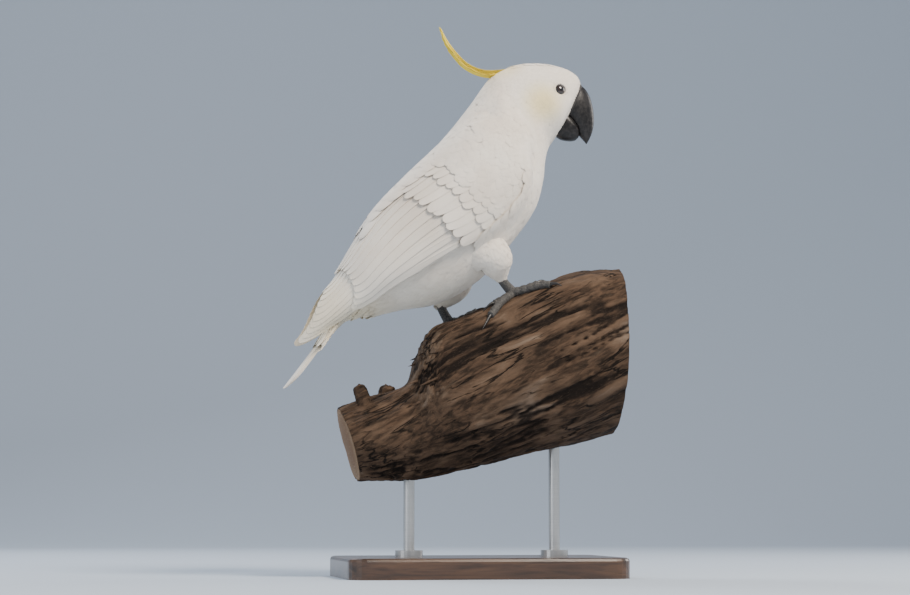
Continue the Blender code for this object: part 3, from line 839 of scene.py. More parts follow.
class Coat:
    """Feathers of one piece, gathered and then made one mesh."""

    patch = 0.003
    longest_step = 0.8
    widest_step = 0.9

    def __init__(self, name: str, rng: np.random.Generator) -> None:
        """Starts an empty piece."""
        self.name, self.rng = name, rng
        self.parts: list[tuple] = []
        self.count = 0

    def plant(self, surface: Surface, roots: Roots, vane: Vane, window: tuple = (0, 1)) -> None:
        """Grows feathers over a surface.

        Args:
            surface: the form that they lie along.
            roots: where each one starts, and its sizes.
            vane: their shape.
            window: the left and right of the part of the baked picture that they take.
        """
        t = 1 - (1 - np.linspace(0, 1, vane.rows + 1)) ** vane.crowding
        s, turn = roots.s, roots.turn
        rows = []
        for ahead in [*np.diff(t), 0.0]:
            point, along, around, out = surface.frame_at(s, turn)
            lie = surface.flow(point, along, out)
            heading = roots.heading[:, None]
            lie = np.cos(heading) * lie + np.sin(heading) * np.cross(lie, out)
            rows.append((s, turn, along, around, np.cross(lie, out)))
            move = surface.steps_for(along, around, lie * (roots.length * ahead)[:, None])
            bounded = (np.clip(by, -self.longest_step, self.longest_step) for by in move)
            s, turn = (at + by for at, by in zip((s, turn), bounded))
        s, turn, along, around, side = (np.stack(values, 1)[:, :, None] for values in zip(*rows))
        half, length = roots.half[:, None, None], roots.length[:, None, None]
        tt, xx = t[None, :, None], np.array(vane.columns)[None, None]
        reach = xx * (half * vane.widths(tt))
        move = surface.steps_for(along, around, side * reach[..., None])
        bounded = [np.clip(value, -self.widest_step, self.widest_step) for value in move]
        point, _, _, out = surface.frame_at(s + bounded[0], turn + bounded[1])
        lie = unit(np.gradient(point, axis=1))

        lift = mix(roots.low[:, None, None], roots.high[:, None, None], 1 - (1 - tt) ** vane.rise)
        lift = lift - vane.camber * half * xx**2 * tt**0.5
        lift = lift + vane.roll * half * xx * surface.hand
        lift = lift + vane.shaft * np.exp(-((xx / 0.05) ** 2)) * (1 - tt) ** 0.7
        count, span, width = point.shape[:3]
        torn = self.rng.uniform(-1, 0.4, (count, 1, width)) * (tt > 0.8)
        back = vane.ragged * torn - vane.rounding * xx**2 * tt**3
        point = point + out * lift[..., None] + lie * (back * length)[..., None]

        corner = (np.arange(vane.rows)[:, None] * width + np.arange(width - 1)[None]).ravel()
        quad = np.stack((corner, corner + 1, corner + width + 1, corner + width), -1)
        faces = quad[None] + (self.count + np.arange(count) * span * width)[:, None, None]
        self.count += count * span * width
        grid = np.stack(np.broadcast_arrays((xx + 1) / 2, tt, np.zeros((count, 1, 1))), -1)[..., :2]
        bake = self.unwrapped(roots, window)[:, None, None] + (grid - 0.5) * self.patch
        tone = np.repeat(self.rng.uniform(0, 1, count), span * width)
        pairs = (values.reshape(-1, 2) for values in (bake, grid))
        self.parts.append((point.reshape(-1, 3), faces.reshape(-1, 4), *pairs, tone))

    def unwrapped(self, roots: Roots, window: tuple) -> Array:
        """Returns the place of each root on an unwrap of the surface, inside a window of the picture."""
        flat = []
        for values, low, high in ((roots.s, *window), (roots.turn, 0, 1)):
            share = (values - values.min()) / max(np.ptp(values), 1e-9)
            flat.append(mix(low + 2 * self.patch, high - 2 * self.patch, share))
        return np.stack(flat, -1)

    def finish(self, material: bpy.types.Material, slot: str, *nodes: str, thick: float = 0.0) -> None:
        """Makes the piece, with its feathers thickened if asked."""
        points, faces, bake, vane, tones = (np.concatenate(values) for values in zip(*self.parts))
        mesh = bpy.data.meshes.new(self.name)
        mesh.vertices.add(len(points))
        mesh.vertices.foreach_set("co", points.astype(np.float32).ravel())
        mesh.loops.add(faces.size)
        mesh.loops.foreach_set("vertex_index", faces.astype(np.int32).ravel())
        mesh.polygons.add(len(faces))
        mesh.polygons.foreach_set("loop_start", np.arange(0, faces.size, 4, dtype=np.int32))
        mesh.update(calc_edges=True)
        for name, values in (("OFBake", bake), ("Vane", vane)):
            layer = mesh.uv_layers.new(name=name)
            layer.uv.foreach_set("vector", values[faces.ravel()].astype(np.float32).ravel())
        mesh.attributes.new("tone", "FLOAT", "POINT").data.foreach_set("value", tones.astype(np.float32))
        mesh.validate()
        piece = made(self.name, mesh, material, slot, *nodes)
        if thick:
            shell = piece.modifiers.new("thickness", "SOLIDIFY")
            shell.thickness = thick
            shell.offset = -1.0


def scattered(
    surface: Surface,
    s_span: tuple,
    turn_span: tuple,
    spacing: Callable[[Array, Array], Array],
    rng: np.random.Generator,
) -> tuple[Array, Array]:
    """Scatters roots evenly over part of a surface.

    Args:
        surface: the surface.
        s_span: the first and last s.
        turn_span: the first and last turn.
        spacing: gives the least distance between roots from s and turn.
        rng: the source of chance.

    Returns:
        The roots' s and turn.
    """
    count, tries_to_place = 90, 4.5
    spans = np.array((s_span, turn_span))
    widths = spans[:, 1] - spans[:, 0]
    grid = np.meshgrid(*(np.linspace(*span, count) for span in spans), indexing="ij")
    _, along, around, _ = surface.frame_at(*grid)
    area = np.linalg.norm(np.cross(along, around), axis=-1) * abs(widths.prod() / count**2)
    weight = (area / spacing(*grid) ** 2).ravel()
    tries = int(weight.sum() * tries_to_place)
    chosen = rng.choice(weight.size, tries, p=weight / weight.sum())
    jitter = rng.uniform(-0.5, 0.5, (2, tries))
    s, turn = (at.ravel()[chosen] + by * width / (count - 1) for at, by, width in zip(grid, jitter, widths))
    points, gaps = surface.at(s, turn), spacing(s, turn)
    size = float(gaps.max())
    cells: dict[tuple, list] = {}
    keep = []
    for index, (point, gap) in enumerate(zip(points.tolist(), gaps.tolist())):
        i, j, k = (int(value // size) for value in point)
        around_home = (cells.get((i + a, j + b, k + c), ()) for a, b, c in product((-1, 0, 1), repeat=3))
        if all(math.dist(point, other) >= gap for near in around_home for other in near):
            cells.setdefault((i, j, k), []).append(point)
            keep.append(index)
    return s[keep], turn[keep]


def apart(points: tuple, share: float = 1.0) -> Callable[[Array, Array], Array]:
    """Returns a function of s and turn that gives a share of a profile of s in mm."""
    return lambda s, turn: profile(points, s) * MM * share


# ---- the bird ----


class BirdForm:
    """The surfaces of the bird, which its skin and coat share."""

    # (station, depth in mm) of the coat
    coat_depth = ((2, 5.5), (8, 5.5), (10, 4.0), (11, 2.6), (14, 1.8), (16, 1.2))
    eye_ring = 7.4 * MM

    def __init__(self, origin: Vector) -> None:
        """Makes the surfaces round the point between the feet."""
        self.origin = origin
        self.depth = tuple((place, value * MM) for place, value in self.coat_depth)
        self.body = BodySurface(origin)
        self.flesh = BodySurface(origin, depth=self.depth)
        back = BodySurface(origin, folded=True)
        self.wings = {side: WingSurface(back, side) for side in Side}
        self.shoulders = {side: ShoulderSurface(self.body, self.wings[side]) for side in Side}
        self.tail = TailSurface(origin)
        self.thigh = {side: ThighSurface(origin, side) for side in Side}
        self.eyes = {side: sum(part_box(f"eye_{side.word}"), Vector()) / 2 for side in Side}
        self.body.eyes = [np.array(centre) for centre in self.eyes.values()]
        self.body.ring = self.eye_ring

    def eye_axis(self, side: Side) -> Vector:
        """Returns the direction in which an eye looks."""
        s, turn = np.meshgrid(np.linspace(11, 15, 60), np.linspace(0.3, 1.9, 60) * side.value, indexing="ij")
        points, _, _, out = self.body.frame_at(s, turn)
        nearest = np.argmin(np.linalg.norm(points - np.array(self.eyes[side]), axis=-1))
        return Vector(out.reshape(-1, 3)[nearest])


@dataclass
class Skin:
    """The one skin of head, neck, trunk, thighs, wing arms and tail root."""

    form: BirdForm
    finish: bpy.types.Material
    grain: float = 1.9 * MM
    softness: int = 8
    sides: int = 96
    limb_sides: int = 40
    thigh_inset: float = 4.5 * MM
    tail_share: float = 0.72

    def build(self) -> None:
        """Builds the skin."""
        bm = bmesh.new()
        loft(bm, self.form.flesh.loops(np.linspace(2.1, 16, 120), self.sides))
        for side in Side:
            thigh = ThighSurface(self.form.origin, side, self.thigh_inset)
            loft(bm, thigh.loops(np.linspace(0, 3.9, 26), self.limb_sides))
        tail = self.form.tail.loops(np.linspace(-0.1, 0.42, 14), self.limb_sides)
        middle = tail.mean(axis=1, keepdims=True)
        loft(bm, middle + (tail - middle) * self.tail_share)
        for side in Side:
            loft(bm, self.arm(self.form.wings[side]))
        rough = bpy.data.objects.new("skin_rough", taken(bm))
        bpy.context.scene.collection.objects.link(rough)
        grain = rough.modifiers.new("grain", "REMESH")
        grain.mode = "VOXEL"
        grain.voxel_size = self.grain
        rough.modifiers.new("soften", "SMOOTH").iterations = self.softness
        bpy.context.view_layer.update()
        mesh = bpy.data.meshes.new_from_object(rough.evaluated_get(bpy.context.evaluated_depsgraph_get()))
        bpy.data.objects.remove(rough)
        nodes = [f"{part}_{side.word}" for part in ("wing", "thigh") for side in Side]
        made("skin", mesh, self.finish, "skin", "head", "neck", "trunk", "tail", *nodes)

    @staticmethod
    def arm(wing: WingSurface) -> list[Array]:
        """Returns rings of the flesh in a folded wing."""
        across = np.linspace(0.06, 0.94, 15)
        places = (np.full_like(across, s) for s in np.linspace(2.4, 7.7, 34))
        return [np.concatenate((wing.over(s, across, 0.45), wing.over(s, across, 1.0)[::-1])) for s in places]


@dataclass
class Feathered:
    """What each set of feathers is made of."""

    form: BirdForm
    finish: bpy.types.Material
    rng: np.random.Generator


@dataclass
class Contour(Feathered):
    """The small feathers that cover the head, neck, trunk and thighs."""

    # length in mm of the feathers at each station
    lengths: tuple = (
        (2, 30),
        (4, 32),
        (7, 27),
        (8.5, 22),
        (9.5, 17),
        (10.5, 12.5),
        (12, 9),
        (14, 7),
        (16, 4.2),
    )
    face_shortness: float = 0.62
    spacing: float = 0.208
    slimness: float = 0.265
    sinking: float = 0.11
    # how far the last feathers over and under the tail's root bend in
    tuck: tuple = (15 * MM, 7.5 * MM)
    # rows that lean over the bill's root: station, length and height in mm
    bill_rows: tuple = ((14.9, 5.4, 0.7), (15.25, 4.6, 0.6), (15.6, 3.8, 0.5))
    # rows that lie back over the crest's root: station, length in mm and count
    crown_rows: tuple = ((13.2, 24, 9), (12.7, 27, 9), (12.2, 28, 9), (11.7, 28, 8))
    # thigh feathers: least distance, length and height in mm from hip to ankle
    thigh_spacing: tuple = ((0, 3.9), (4, 2.0))
    thigh_length: tuple = ((0, 24), (2.5, 17), (4, 9))
    thigh_height: tuple = ((-1, 0.3), (3.0, 0.3), (4, -1.6))

    def length(self, s: Array, turn: Array) -> Array:
        """Returns the length in metres of the feathers at s and turn."""
        face = ease(11.5, 13.5, s) * ease(0.75, 1.2, from_back(turn))
        return profile(self.lengths, s) * MM * mix(1.0, self.face_shortness, face)

    def spaced(self, share: float) -> Callable[[Array, Array], Array]:
        """Returns a function of s and turn that gives a share of the feathers' length."""
        return lambda s, turn: self.length(s, turn) * share

    def roots(self, s: Array, turn: Array) -> Roots:
        """Returns the roots of the body's feathers, kept off the eyes."""
        surface, ring = self.form.body, self.form.eye_ring
        length = self.length(s, turn)
        sunk = np.minimum(profile(self.form.depth, s), length * self.sinking + 0.4 * MM)
        tuck = np.clip((2.95 - s) / 0.8, 0, 1) * mix(*self.tuck, ease(1.2, 2.4, from_back(turn)))
        roots = Roots(s, turn, length, length * self.slimness, -sunk, 0.2 * MM - tuck)
        roots = roots.varied(self.rng, 0.10, 0.06)
        points, along, _, out = surface.frame_at(s, turn)
        lie = surface.flow(points, along, out)
        clear = np.ones(len(s), bool)
        for side, centre in self.form.eyes.items():
            gap = points - np.array(centre + self.form.eye_axis(side) * 5.0 * MM)
            clear &= np.linalg.norm(gap, axis=-1) > ring
            for share in (0.35, 0.7, 1.0):
                short = np.linalg.norm(gap + lie * (roots.length * share)[:, None], axis=-1) < ring
                roots.length = np.where(short, np.maximum(roots.length * 0.5, 2.2 * MM), roots.length)
                roots.half = np.where(short, roots.half * 0.6, roots.half)
        return roots.kept(clear)

    def body_part(self, name: str, span: tuple, vane: Vane, *also: Callable[[Coat], None]) -> None:
        """Builds the feathers between two stations.

        Args:
            name: the piece's name.
            span: the first and last station.
            vane: the feathers' shape.
            also: what adds more feathers to the same piece.
        """
        coat = Coat(name, self.rng)
        roots = self.roots(*scattered(self.form.body, span, ROUND, self.spaced(self.spacing), self.rng))
        around = np.abs(roots.turn)
        covered = (around > 0.5) & (around < 1.75) & (roots.s > 2.6) & (roots.s < 6.9)
        coat.plant(self.form.body, roots.kept(~covered), vane, (0, 0.9))
        for add in also:
            add(coat)
        coat.finish(self.finish, "plumage")

    def bill_edge(self, coat: Coat) -> None:
        """Adds the short feathers that lean forwards over the bill's root."""
        for place, length, high in self.bill_rows:
            for side in Side:
                turn = np.linspace(0.75, 2.8, 52) * side.value + self.rng.normal(0, 0.02, 52)
                around = np.abs(turn)
                long = length * MM * mix(0.45, 1.0, ease(0.6, 1.7, around))
                heading = math.pi - 0.30 * side.value * ease(1.2, 2.4, around)
                roots = Roots(place, turn, long, long * 0.17, -0.9 * MM, high * MM, heading)
                coat.plant(self.form.body, roots.varied(self.rng, 0.25, 0.15), LONG, (0.9, 1))

    def crown(self, coat: Coat) -> None:
        """Adds the long white feathers that lie back over the crest's root."""
        for place, length, count in self.crown_rows:
            turn = np.linspace(-0.42, 0.42, count) + self.rng.normal(0, 0.03, count)
            roots = Roots(place, turn, length * MM, 2.7 * MM, -0.6 * MM, 0.8 * MM, -turn * 0.25)
            coat.plant(self.form.body, roots.varied(self.rng, 0.12, 0.05), LONG, (0.9, 1))

    def shoulders(self) -> None:
        """Builds the feathers that lie over the wings' front and lower edges."""
        coat = Coat("coat_shoulders", self.rng)
        for number, (side, surface) in enumerate(self.form.shoulders.items()):
            span = tuple(math.radians(angle) * side.value for angle in (28, 150))
            s, turn = scattered(surface, (5.3, 9.6), span, self.spaced(0.19), self.rng)
            upper, lower = surface.edges(s)[:, :2].T
            angle = np.degrees(np.abs(turn))
            length = self.length(s, turn) * 0.85
            roots = Roots(s, turn, length, length * 0.27, -length * 0.11, 0.3 * MM)
            near = (s > 7.5) & (angle > upper - 20) | (angle > lower - 7) & (s > 5.5)
            roots = roots.varied(self.rng, 0.08, 0.05).kept(near & (angle < lower + 22))
            coat.plant(surface, roots, CONTOUR, (number / 2, (number + 1) / 2))
        coat.finish(self.finish, "plumage")

    def thighs(self) -> None:
        """Builds the feathers of both thighs."""
        coat = Coat("coat_thighs", self.rng)
        for number, surface in enumerate(self.form.thigh.values()):
            s, turn = scattered(surface, (-0.5, 4.0), ROUND, apart(self.thigh_spacing), self.rng)
            length = profile(self.thigh_length, s) * MM
            roots = Roots(s, turn, length, length * 0.22, -3.4 * MM, profile(self.thigh_height, s) * MM)
            coat.plant(surface, roots.varied(self.rng, 0.15, 0.08), LONG, (number / 2, (number + 1) / 2))
        coat.finish(self.finish, "plumage")

    def down(self) -> None:
        """Builds the fine loose wisps over the belly and the thighs."""
        coat = Coat("coat_wisps", self.rng)
        body = self.form.body
        right, left = self.form.thigh.values()
        for surface, span, window in (
            (body, (2.2, 14.6), (0, 0.6)),
            (right, (0.6, 3.9), (0.6, 0.8)),
            (left, (0.6, 3.9), (0.8, 1)),
        ):
            s, turn = scattered(surface, span, ROUND, apart(((0, 3.4),)), self.rng)
            length = self.rng.uniform(5, 9, len(s)) * MM
            on_body = surface is body
            length = np.minimum(length, self.length(s, turn) * 0.8) if on_body else length * 0.6
            roots = Roots(s, turn, length, 0.35 * MM, -0.8 * MM, 0.4 * MM).varied(self.rng, 0.2, 0.22)
            if on_body:
                roots = roots.kept((from_back(turn) > 1.9) & (s < 7))
            coat.plant(surface, roots, DOWN, window)
        coat.finish(self.finish, "plumage")

    def build(self) -> None:
        """Builds every contour feather."""
        self.body_part("coat_face", (12.6, 16.0), FACE, self.bill_edge)
        self.body_part("coat_crown_nape", (9.6, 12.9), CONTOUR, self.crown)
        self.body_part("coat_neck", (7.0, 9.9), CONTOUR)
        self.body_part("coat_trunk", (2.0, 7.3), CONTOUR)
        self.shoulders()
        self.thighs()
        self.down()


@dataclass
class Wing(Feathered):
    """The feathers of one folded wing."""

    side: Side
    # flight feathers: count, root station and turn, end station and its bow, half width, height of root and
    # of tip in mm, sway; pairs run from the upper to the lower edge
    flights: tuple = (
        (10, (3.6, 3.6), (0.10, 0.93), (1.55, 0.12), 0.0, (10.5, 6.8), (-3.6, -3.0), (-1.2, -1.0), 0.0),
        (11, (5.3, 5.0), (0.06, 0.95), (2.15, 1.65), 0.25, (11.5, 8.5), (-2.0, -2.6), (0.4, -0.2), 0.015),
    )
    # rows of coverts: root station at the upper and lower edge, count, length and half width in mm, height
    coverts: tuple = (
        (5.85, 5.80, 13, 56, 7.0, 0.6),
        (6.25, 6.15, 14, 40, 6.4, 0.85),
        (6.55, 6.45, 16, 30, 5.6, 1.1),
    )
    # lesser coverts and scapulars: stations, turns, (station, length in mm), height in mm, window
    small: tuple = (
        ((6.15, 8.05), (0.1, 1.0), ((6.0, 24), (7.0, 17), (8.0, 9)), 1.4, (3 / 12, 8 / 12)),
        ((4.1, 7.95), (-0.26, 0.22), ((4.0, 38), (5.5, 34), (6.5, 26), (8.0, 12)), 1.5, (8 / 12, 1)),
    )
    spacing: float = 0.225

    def length_to(self, s: Array, turn: Array, end: Array) -> Array:
        """Returns the distance in metres over the wing from s to station end."""
        shares = np.linspace(0, 1, 12)[:, None]
        points = self.form.wings[self.side].at(mix(s, end, shares), turn + 0 * shares)
        return np.linalg.norm(np.diff(points, axis=0), axis=-1).sum(0)

    def flight(self) -> None:
        """Builds the primaries and secondaries."""
        coat = Coat(f"flight_feathers_{self.side.word}", self.rng)
        for number, (count, root, across, end, bow, half, low, high, sway) in enumerate(self.flights):
            k = np.linspace(0, 1, count)
            s, turn = mix(*root, k), mix(*across, k)
            length = self.length_to(s, turn, mix(*end, k) + bow * np.sin(math.pi * k))
            sizes = (mix(*pair, k) * MM for pair in (half, low, high))
            roots = Roots(s, turn, length, *sizes, sway * np.sin(7 * k))
            coat.plant(self.form.wings[self.side], roots, FLIGHT, (number / 2, (number + 1) / 2))
        coat.finish(self.finish, "plumage", thick=0.35 * MM)

    def cover(self) -> None:
        """Builds the coverts and scapulars."""
        coat = Coat(f"coverts_{self.side.word}", self.rng)
        wing = self.form.wings[self.side]
        for number, (upper, lower, count, length, half, high) in enumerate(self.coverts):
            k = (np.arange(count) + 0.5 * (number % 2) + 0.25) / count
            s, turn, long = mix(upper, lower, k), mix(0.02, 0.99, k), length * MM * mix(1.06, 0.9, k)
            roots = Roots(s, turn, long, half * MM, -1.8 * MM, high * MM).varied(self.rng, 0.07, 0.025)
            coat.plant(wing, roots, COVERT, (number / 12, (number + 1) / 12))
        for s_span, turn_span, lengths, high, window in self.small:
            s, turn = scattered(wing, s_span, turn_span, apart(lengths, self.spacing), self.rng)
            length = profile(lengths, s) * MM
            roots = Roots(s, turn, length, length * 0.27, -length * 0.09, (high - 0.4 * turn) * MM)
            coat.plant(wing, roots.varied(self.rng, 0.10, 0.06), CONTOUR, window)
        coat.finish(self.finish, "plumage")

    def build(self) -> None:
        """Builds the wing's feathers."""
        self.flight()
        self.cover()


@dataclass
class Tail(Feathered):
    """The tail feathers and the coverts at their root."""

    feathers: int = 12
    over_quills: float = 2.4 * MM

    def build(self) -> None:
        """Builds the twelve tail feathers, and the coverts over and under their root."""
        tail = self.form.tail
        reach = float(np.linalg.norm(tail.reach))
        sheet = TailSheet(tail)
        coat = Coat("tail_feathers", self.rng)
        for number, place in enumerate(np.linspace(-1, 1, self.feathers)):
            depth = 0.9 - 2.5 * abs(place)
            length = reach * (0.885 - 0.085 * place**2)
            roots = Roots(0.10, place * 9 * MM, length, 12.5 * MM, depth * 0.6 * MM, depth * MM)
            coat.plant(sheet, roots, FLIGHT, (number / self.feathers, (number + 1) / self.feathers))
        coat.finish(self.finish, "plumage", thick=0.3 * MM)
        coat = Coat("tail_coverts", self.rng)
        s, turn = scattered(tail, (-0.2, 0.28), ROUND, apart(((0, 5.0),)), self.rng)
        length = mix(30, 34, np.clip(s / 0.3, 0, 1)) * MM
        end = s + length / reach
        depth = np.linalg.norm(tail.at(end, 0 * s) - tail.at(end, 0 * s + math.pi), axis=-1) / 2
        roots = Roots(s, turn, length, length * 0.26, -1.6 * MM, self.over_quills - depth)
        coat.plant(tail, roots.varied(self.rng, 0.12, 0.04), COVERT)
        coat.finish(self.finish, "plumage")


@dataclass
class Crest(Feathered):
    """The laid-back crest of narrow yellow feathers that curl up at their tips."""

    # x, z of the longest feathers' path, in mm
    path: tuple = (
        (74, 278),
        (60, 277.5),
        (46, 274.5),
        (29, 271.5),
        (10, 270.5),
        (-8, 277),
        (-22, 290),
        (-32, 303),
        (-39, 316),
    )
    feathers: int = 30
    # from the longest feather to the shortest: reach along the path, half width, height over the path
    reach: tuple = (1.0, 0.40)
    half: tuple = (3.9 * MM, 3.0 * MM)
    high: tuple = (2.0 * MM, -9.5 * MM)
    spread: float = 7.5 * MM

    def build(self) -> None:
        """Builds the crest."""
        coat = Coat("crest_feathers", self.rng)
        sheet = CrestSheet(np.array(self.path) * MM, self.form.origin)
        for number in range(self.feathers):
            share = number / (self.feathers - 1)
            reach, half, high = mix(*self.reach, share**1.3), mix(*self.half, share), mix(*self.high, share)
            side = (-1) ** number * (0.45 + 0.55 * math.sin(2.4 * number) ** 2)
            sheet.spread, sheet.reach = side * self.spread * share**0.7, reach
            roots = Roots(0.02 + 0.02 * (number % 3), 0.0, sheet.length(reach), half, high - 1.0 * MM, high)
            coat.plant(sheet, roots, PLUME, (number / self.feathers, (number + 1) / self.feathers))
        coat.finish(self.finish, "crest", "crest", thick=0.22 * MM)


@dataclass
class Bill:
    """The strong hooked bill, with its cere and nostrils."""

    origin: Vector
    sides: int = 48
    upper_widest: float = 0.66
    lower_widest: float = 0.30
    cere: float = 1.3 * MM
    cere_end: float = 1.5
    nostril: float = 0.115  # its place round the cere, as a share of a turn from the top
    nostril_size: tuple = (1.3 * MM, 0.9 * MM, 1.7 * MM, 1.0)
    # stations from the root to the tip: top x, z, bottom x, z and half width, in mm
    upper: tuple = (
        (116, 259.5, 99, 224, 12.4),
        (118, 259.5, 102, 223, 12.8),
        (125, 254.5, 107, 218.5, 12.6),
        (130.5, 245, 111, 214.2, 11.8),
        (134, 232, 114, 210, 10.4),
        (135, 218.5, 115.5, 205.5, 8.6),
        (133.5, 207.5, 119.5, 200.5, 6),
        (130.5, 199.5, 123.5, 196.2, 3.4),
        (127.3, 193.5, 126.3, 192.6, 0.8),
    )
    lower: tuple = (
        (99, 229, 88, 204, 9.6),
        (105.5, 225.5, 92.5, 199.5, 10.6),
        (110, 220.5, 98.5, 196.3, 10.8),
        (114, 215, 106, 195.2, 10.0),
        (116.4, 209.5, 113.2, 196.0, 7.8),
        (117.4, 204.4, 116.8, 199.0, 4.4),
    )

    @staticmethod
    def horn() -> bpy.types.Material:
        """Returns the finish of the bill's dark horn, with growth lines and dusty wear."""
        paint = Paint("bill_horn", 0.34, Specular_IOR_Level=0.32)
        growth = paint.noise(300.0, 4.0, 0.6, (1, 0.35, 1), (0, 0.5, 0))
        dust = paint.noise(240.0, 5.0, 0.0, (1, 1, 0.3)).ease(0.45, 0.8)
        dark = paint.blend(growth.ease(0.35, 0.7), (0.010, 0.0095, 0.010), (0.026, 0.024, 0.024))
        paint.colour(paint.blend(dust * 0.14, dark, (0.040, 0.037, 0.034)))
        paint.feed(paint.inputs["Roughness"], 0.32 + 0.12 * dust)
        return paint.relief(growth, 0.35, 0.6).relief(paint.noise(1400.0), 0.1, 0.4).material

    def rings(
        self,
        stations: tuple,
        widest: float,
        count: int,
        grown: float = 0.0,
        last: float = 0.0,
    ) -> Array:
        """Returns rings along stations.

        Args:
            stations: the stations.
            widest: where a ring is widest, from its top 0 to its bottom 1.
            count: how many rings.
            grown: how far their tops stand out, in metres.
            last: the last station, or 0 for all.

        Returns:
            The rings' points.
        """
        s = np.linspace(0, last or len(stations) - 1, count)
        row = curve(np.array(stations, float) * MM, s)
        turn = (np.arange(self.sides) + 0.5) * 2 * math.pi / self.sides
        cos, sin = np.cos(turn)[None, :, None], np.sin(turn)[None]
        top, bottom = upright(row[:, 0:2])[:, None], upright(row[:, 2:4])[:, None]
        middle = mix(top, bottom, widest)
        offset = np.where(cos > 0, (top - middle) * cos, (middle - bottom) * cos)
        offset[..., 1] += row[:, 4:5] * np.sign(sin) * np.abs(sin) ** 0.86
        swell = np.sin(math.pi * np.clip(s / max(last, 1e-6), 0, 1))[:, None, None] ** 0.5
        return middle + offset + unit(offset) * grown * ease(-0.75, 0.55, cos) * swell + np.array(self.origin)

    def build(self) -> None:
        """Builds the bill."""
        horn = self.horn()
        for name, stations, widest in (
            ("bill_upper", self.upper, self.upper_widest),
            ("bill_lower", self.lower, self.lower_widest),
        ):
            bm = bmesh.new()
            loft(bm, self.rings(stations, widest, 72))
            for vert in bm.verts:
                wear = noise.fractal(vert.co / (5 * MM), 1.0, 2.0, 3)
                vert.co += vert.co.normalized() * wear * 0.12 * MM
            made(f"{name}_horn", bm, horn, "bill", name)
        rings = self.rings(self.upper, self.upper_widest, 14, self.cere, self.cere_end)
        bm = bmesh.new()
        loft(bm, rings)
        dull = Paint("cere_skin", 0.75).colour((0.034, 0.032, 0.032))
        dull.relief(dull.noise(900.0), 0.3, 0.7)
        made("cere", bm, dull.material, "bill", angle=60)
        # The nostrils are near-black ellipsoids set in the cere: their colour is painted shade standing in
        # for the openings
        bm = bmesh.new()
        for side in Side:
            place = rings[7][int(self.sides * (0.5 - side.value * 0.5 + side.value * self.nostril))]
            shape = Matrix.Translation(Vector(place)) @ Matrix.Diagonal(self.nostril_size)
            bmesh.ops.create_uvsphere(bm, u_segments=20, v_segments=12, radius=1.0, matrix=shape)
        made("nostrils", bm, Paint("nostril_painted_shade", 0.9).colour((0.006, 0.005, 0.005)).material, "bill")


@dataclass
class Eyes:
    """Both eyes: the eyeball and the lids with their ring of bare skin."""

    form: BirdForm
    skin: bpy.types.Material
    radius: float = 7.4 * MM
    iris: float = 4.4
    pupil: float = 2.5
    fold: float = 0.10 * MM
    smooth: float = 5.2
    # the lids' section: distance from the eye's axis and height over the eyeball's middle, in mm
    lid: tuple = (
        (5.6, 4.1),
        (5.9, 4.9),
        (6.25, 5.4),
        (6.8, 5.55),
        (7.3, 5.35),
        (7.9, 5.1),
        (8.7, 4.5),
        (9.7, 3.5),
        (11.2, 1.7),
    )

    def ball(self, word: str, front: Vector, place: Matrix) -> None:
        """Builds an eyeball, with its iris round a point."""
        bm = bmesh.new()
        bmesh.ops.create_uvsphere(bm, u_segments=48, v_segments=32, radius=self.radius, matrix=place)
        paint = Paint(f"eye_{word}", 0.04, Coat_Weight=1.0, Coat_Roughness=0.01)
        brown = paint.blend(paint.noise(1500.0), (0.016, 0.007, 0.004), (0.034, 0.014, 0.007))
        ringed = paint.blend(paint.near(front, self.iris, 0.3), (0.012, 0.009, 0.008), brown)
        paint.colour(paint.blend(paint.near(front, self.pupil, 0.25), ringed, (0.002, 0.002, 0.002)))
        made(f"eyeball_{word}", bm, paint.material, "eye", f"eye_{word}")

    def lids(self, word: str, place: Matrix) -> None:
        """Builds the lids round an eye."""
        bm = bmesh.new()
        verts = [bm.verts.new((reach * MM, 0, high * MM)) for reach, high in self.lid]
        line = verts + [bm.edges.new(pair) for pair in zip(verts, verts[1:])]
        turn = 2 * math.pi
        bmesh.ops.spin(bm, geom=line, cent=(0, 0, 0), axis=(0, 0, 1), angle=turn, steps=64, use_merge=True)
        for _ in range(2):
            bmesh.ops.subdivide_edges(bm, edges=bm.edges, cuts=1, smooth=0.6, use_grid_fill=True)
        for vert in bm.verts:
            reach = vert.co.xy.length / MM
            around = math.atan2(vert.co.y, vert.co.x)
            fold = math.sin(14 * around + 2 * noise.noise(vert.co * 500)) + math.sin(reach * 5.5)
            vert.co.z += fold * self.fold * min(1.0, max(0.0, reach - self.smooth))
            vert.co.x *= 1.04 + 0.05 * (vert.co.x > 0)
        bmesh.ops.transform(bm, matrix=place, verts=bm.verts)
        made(f"eyelids_{word}", bm, self.skin, "skin")

    def build(self) -> None:
        """Builds both eyes."""
        for side, centre in self.form.eyes.items():
            axis = self.form.eye_axis(side)
            place = Matrix.Translation(centre) @ axis.to_track_quat("Z", "Y").to_matrix().to_4x4()
            self.ball(side.word, centre + axis * self.radius, place)
            self.lids(side.word, place)


# ---- the perch ----


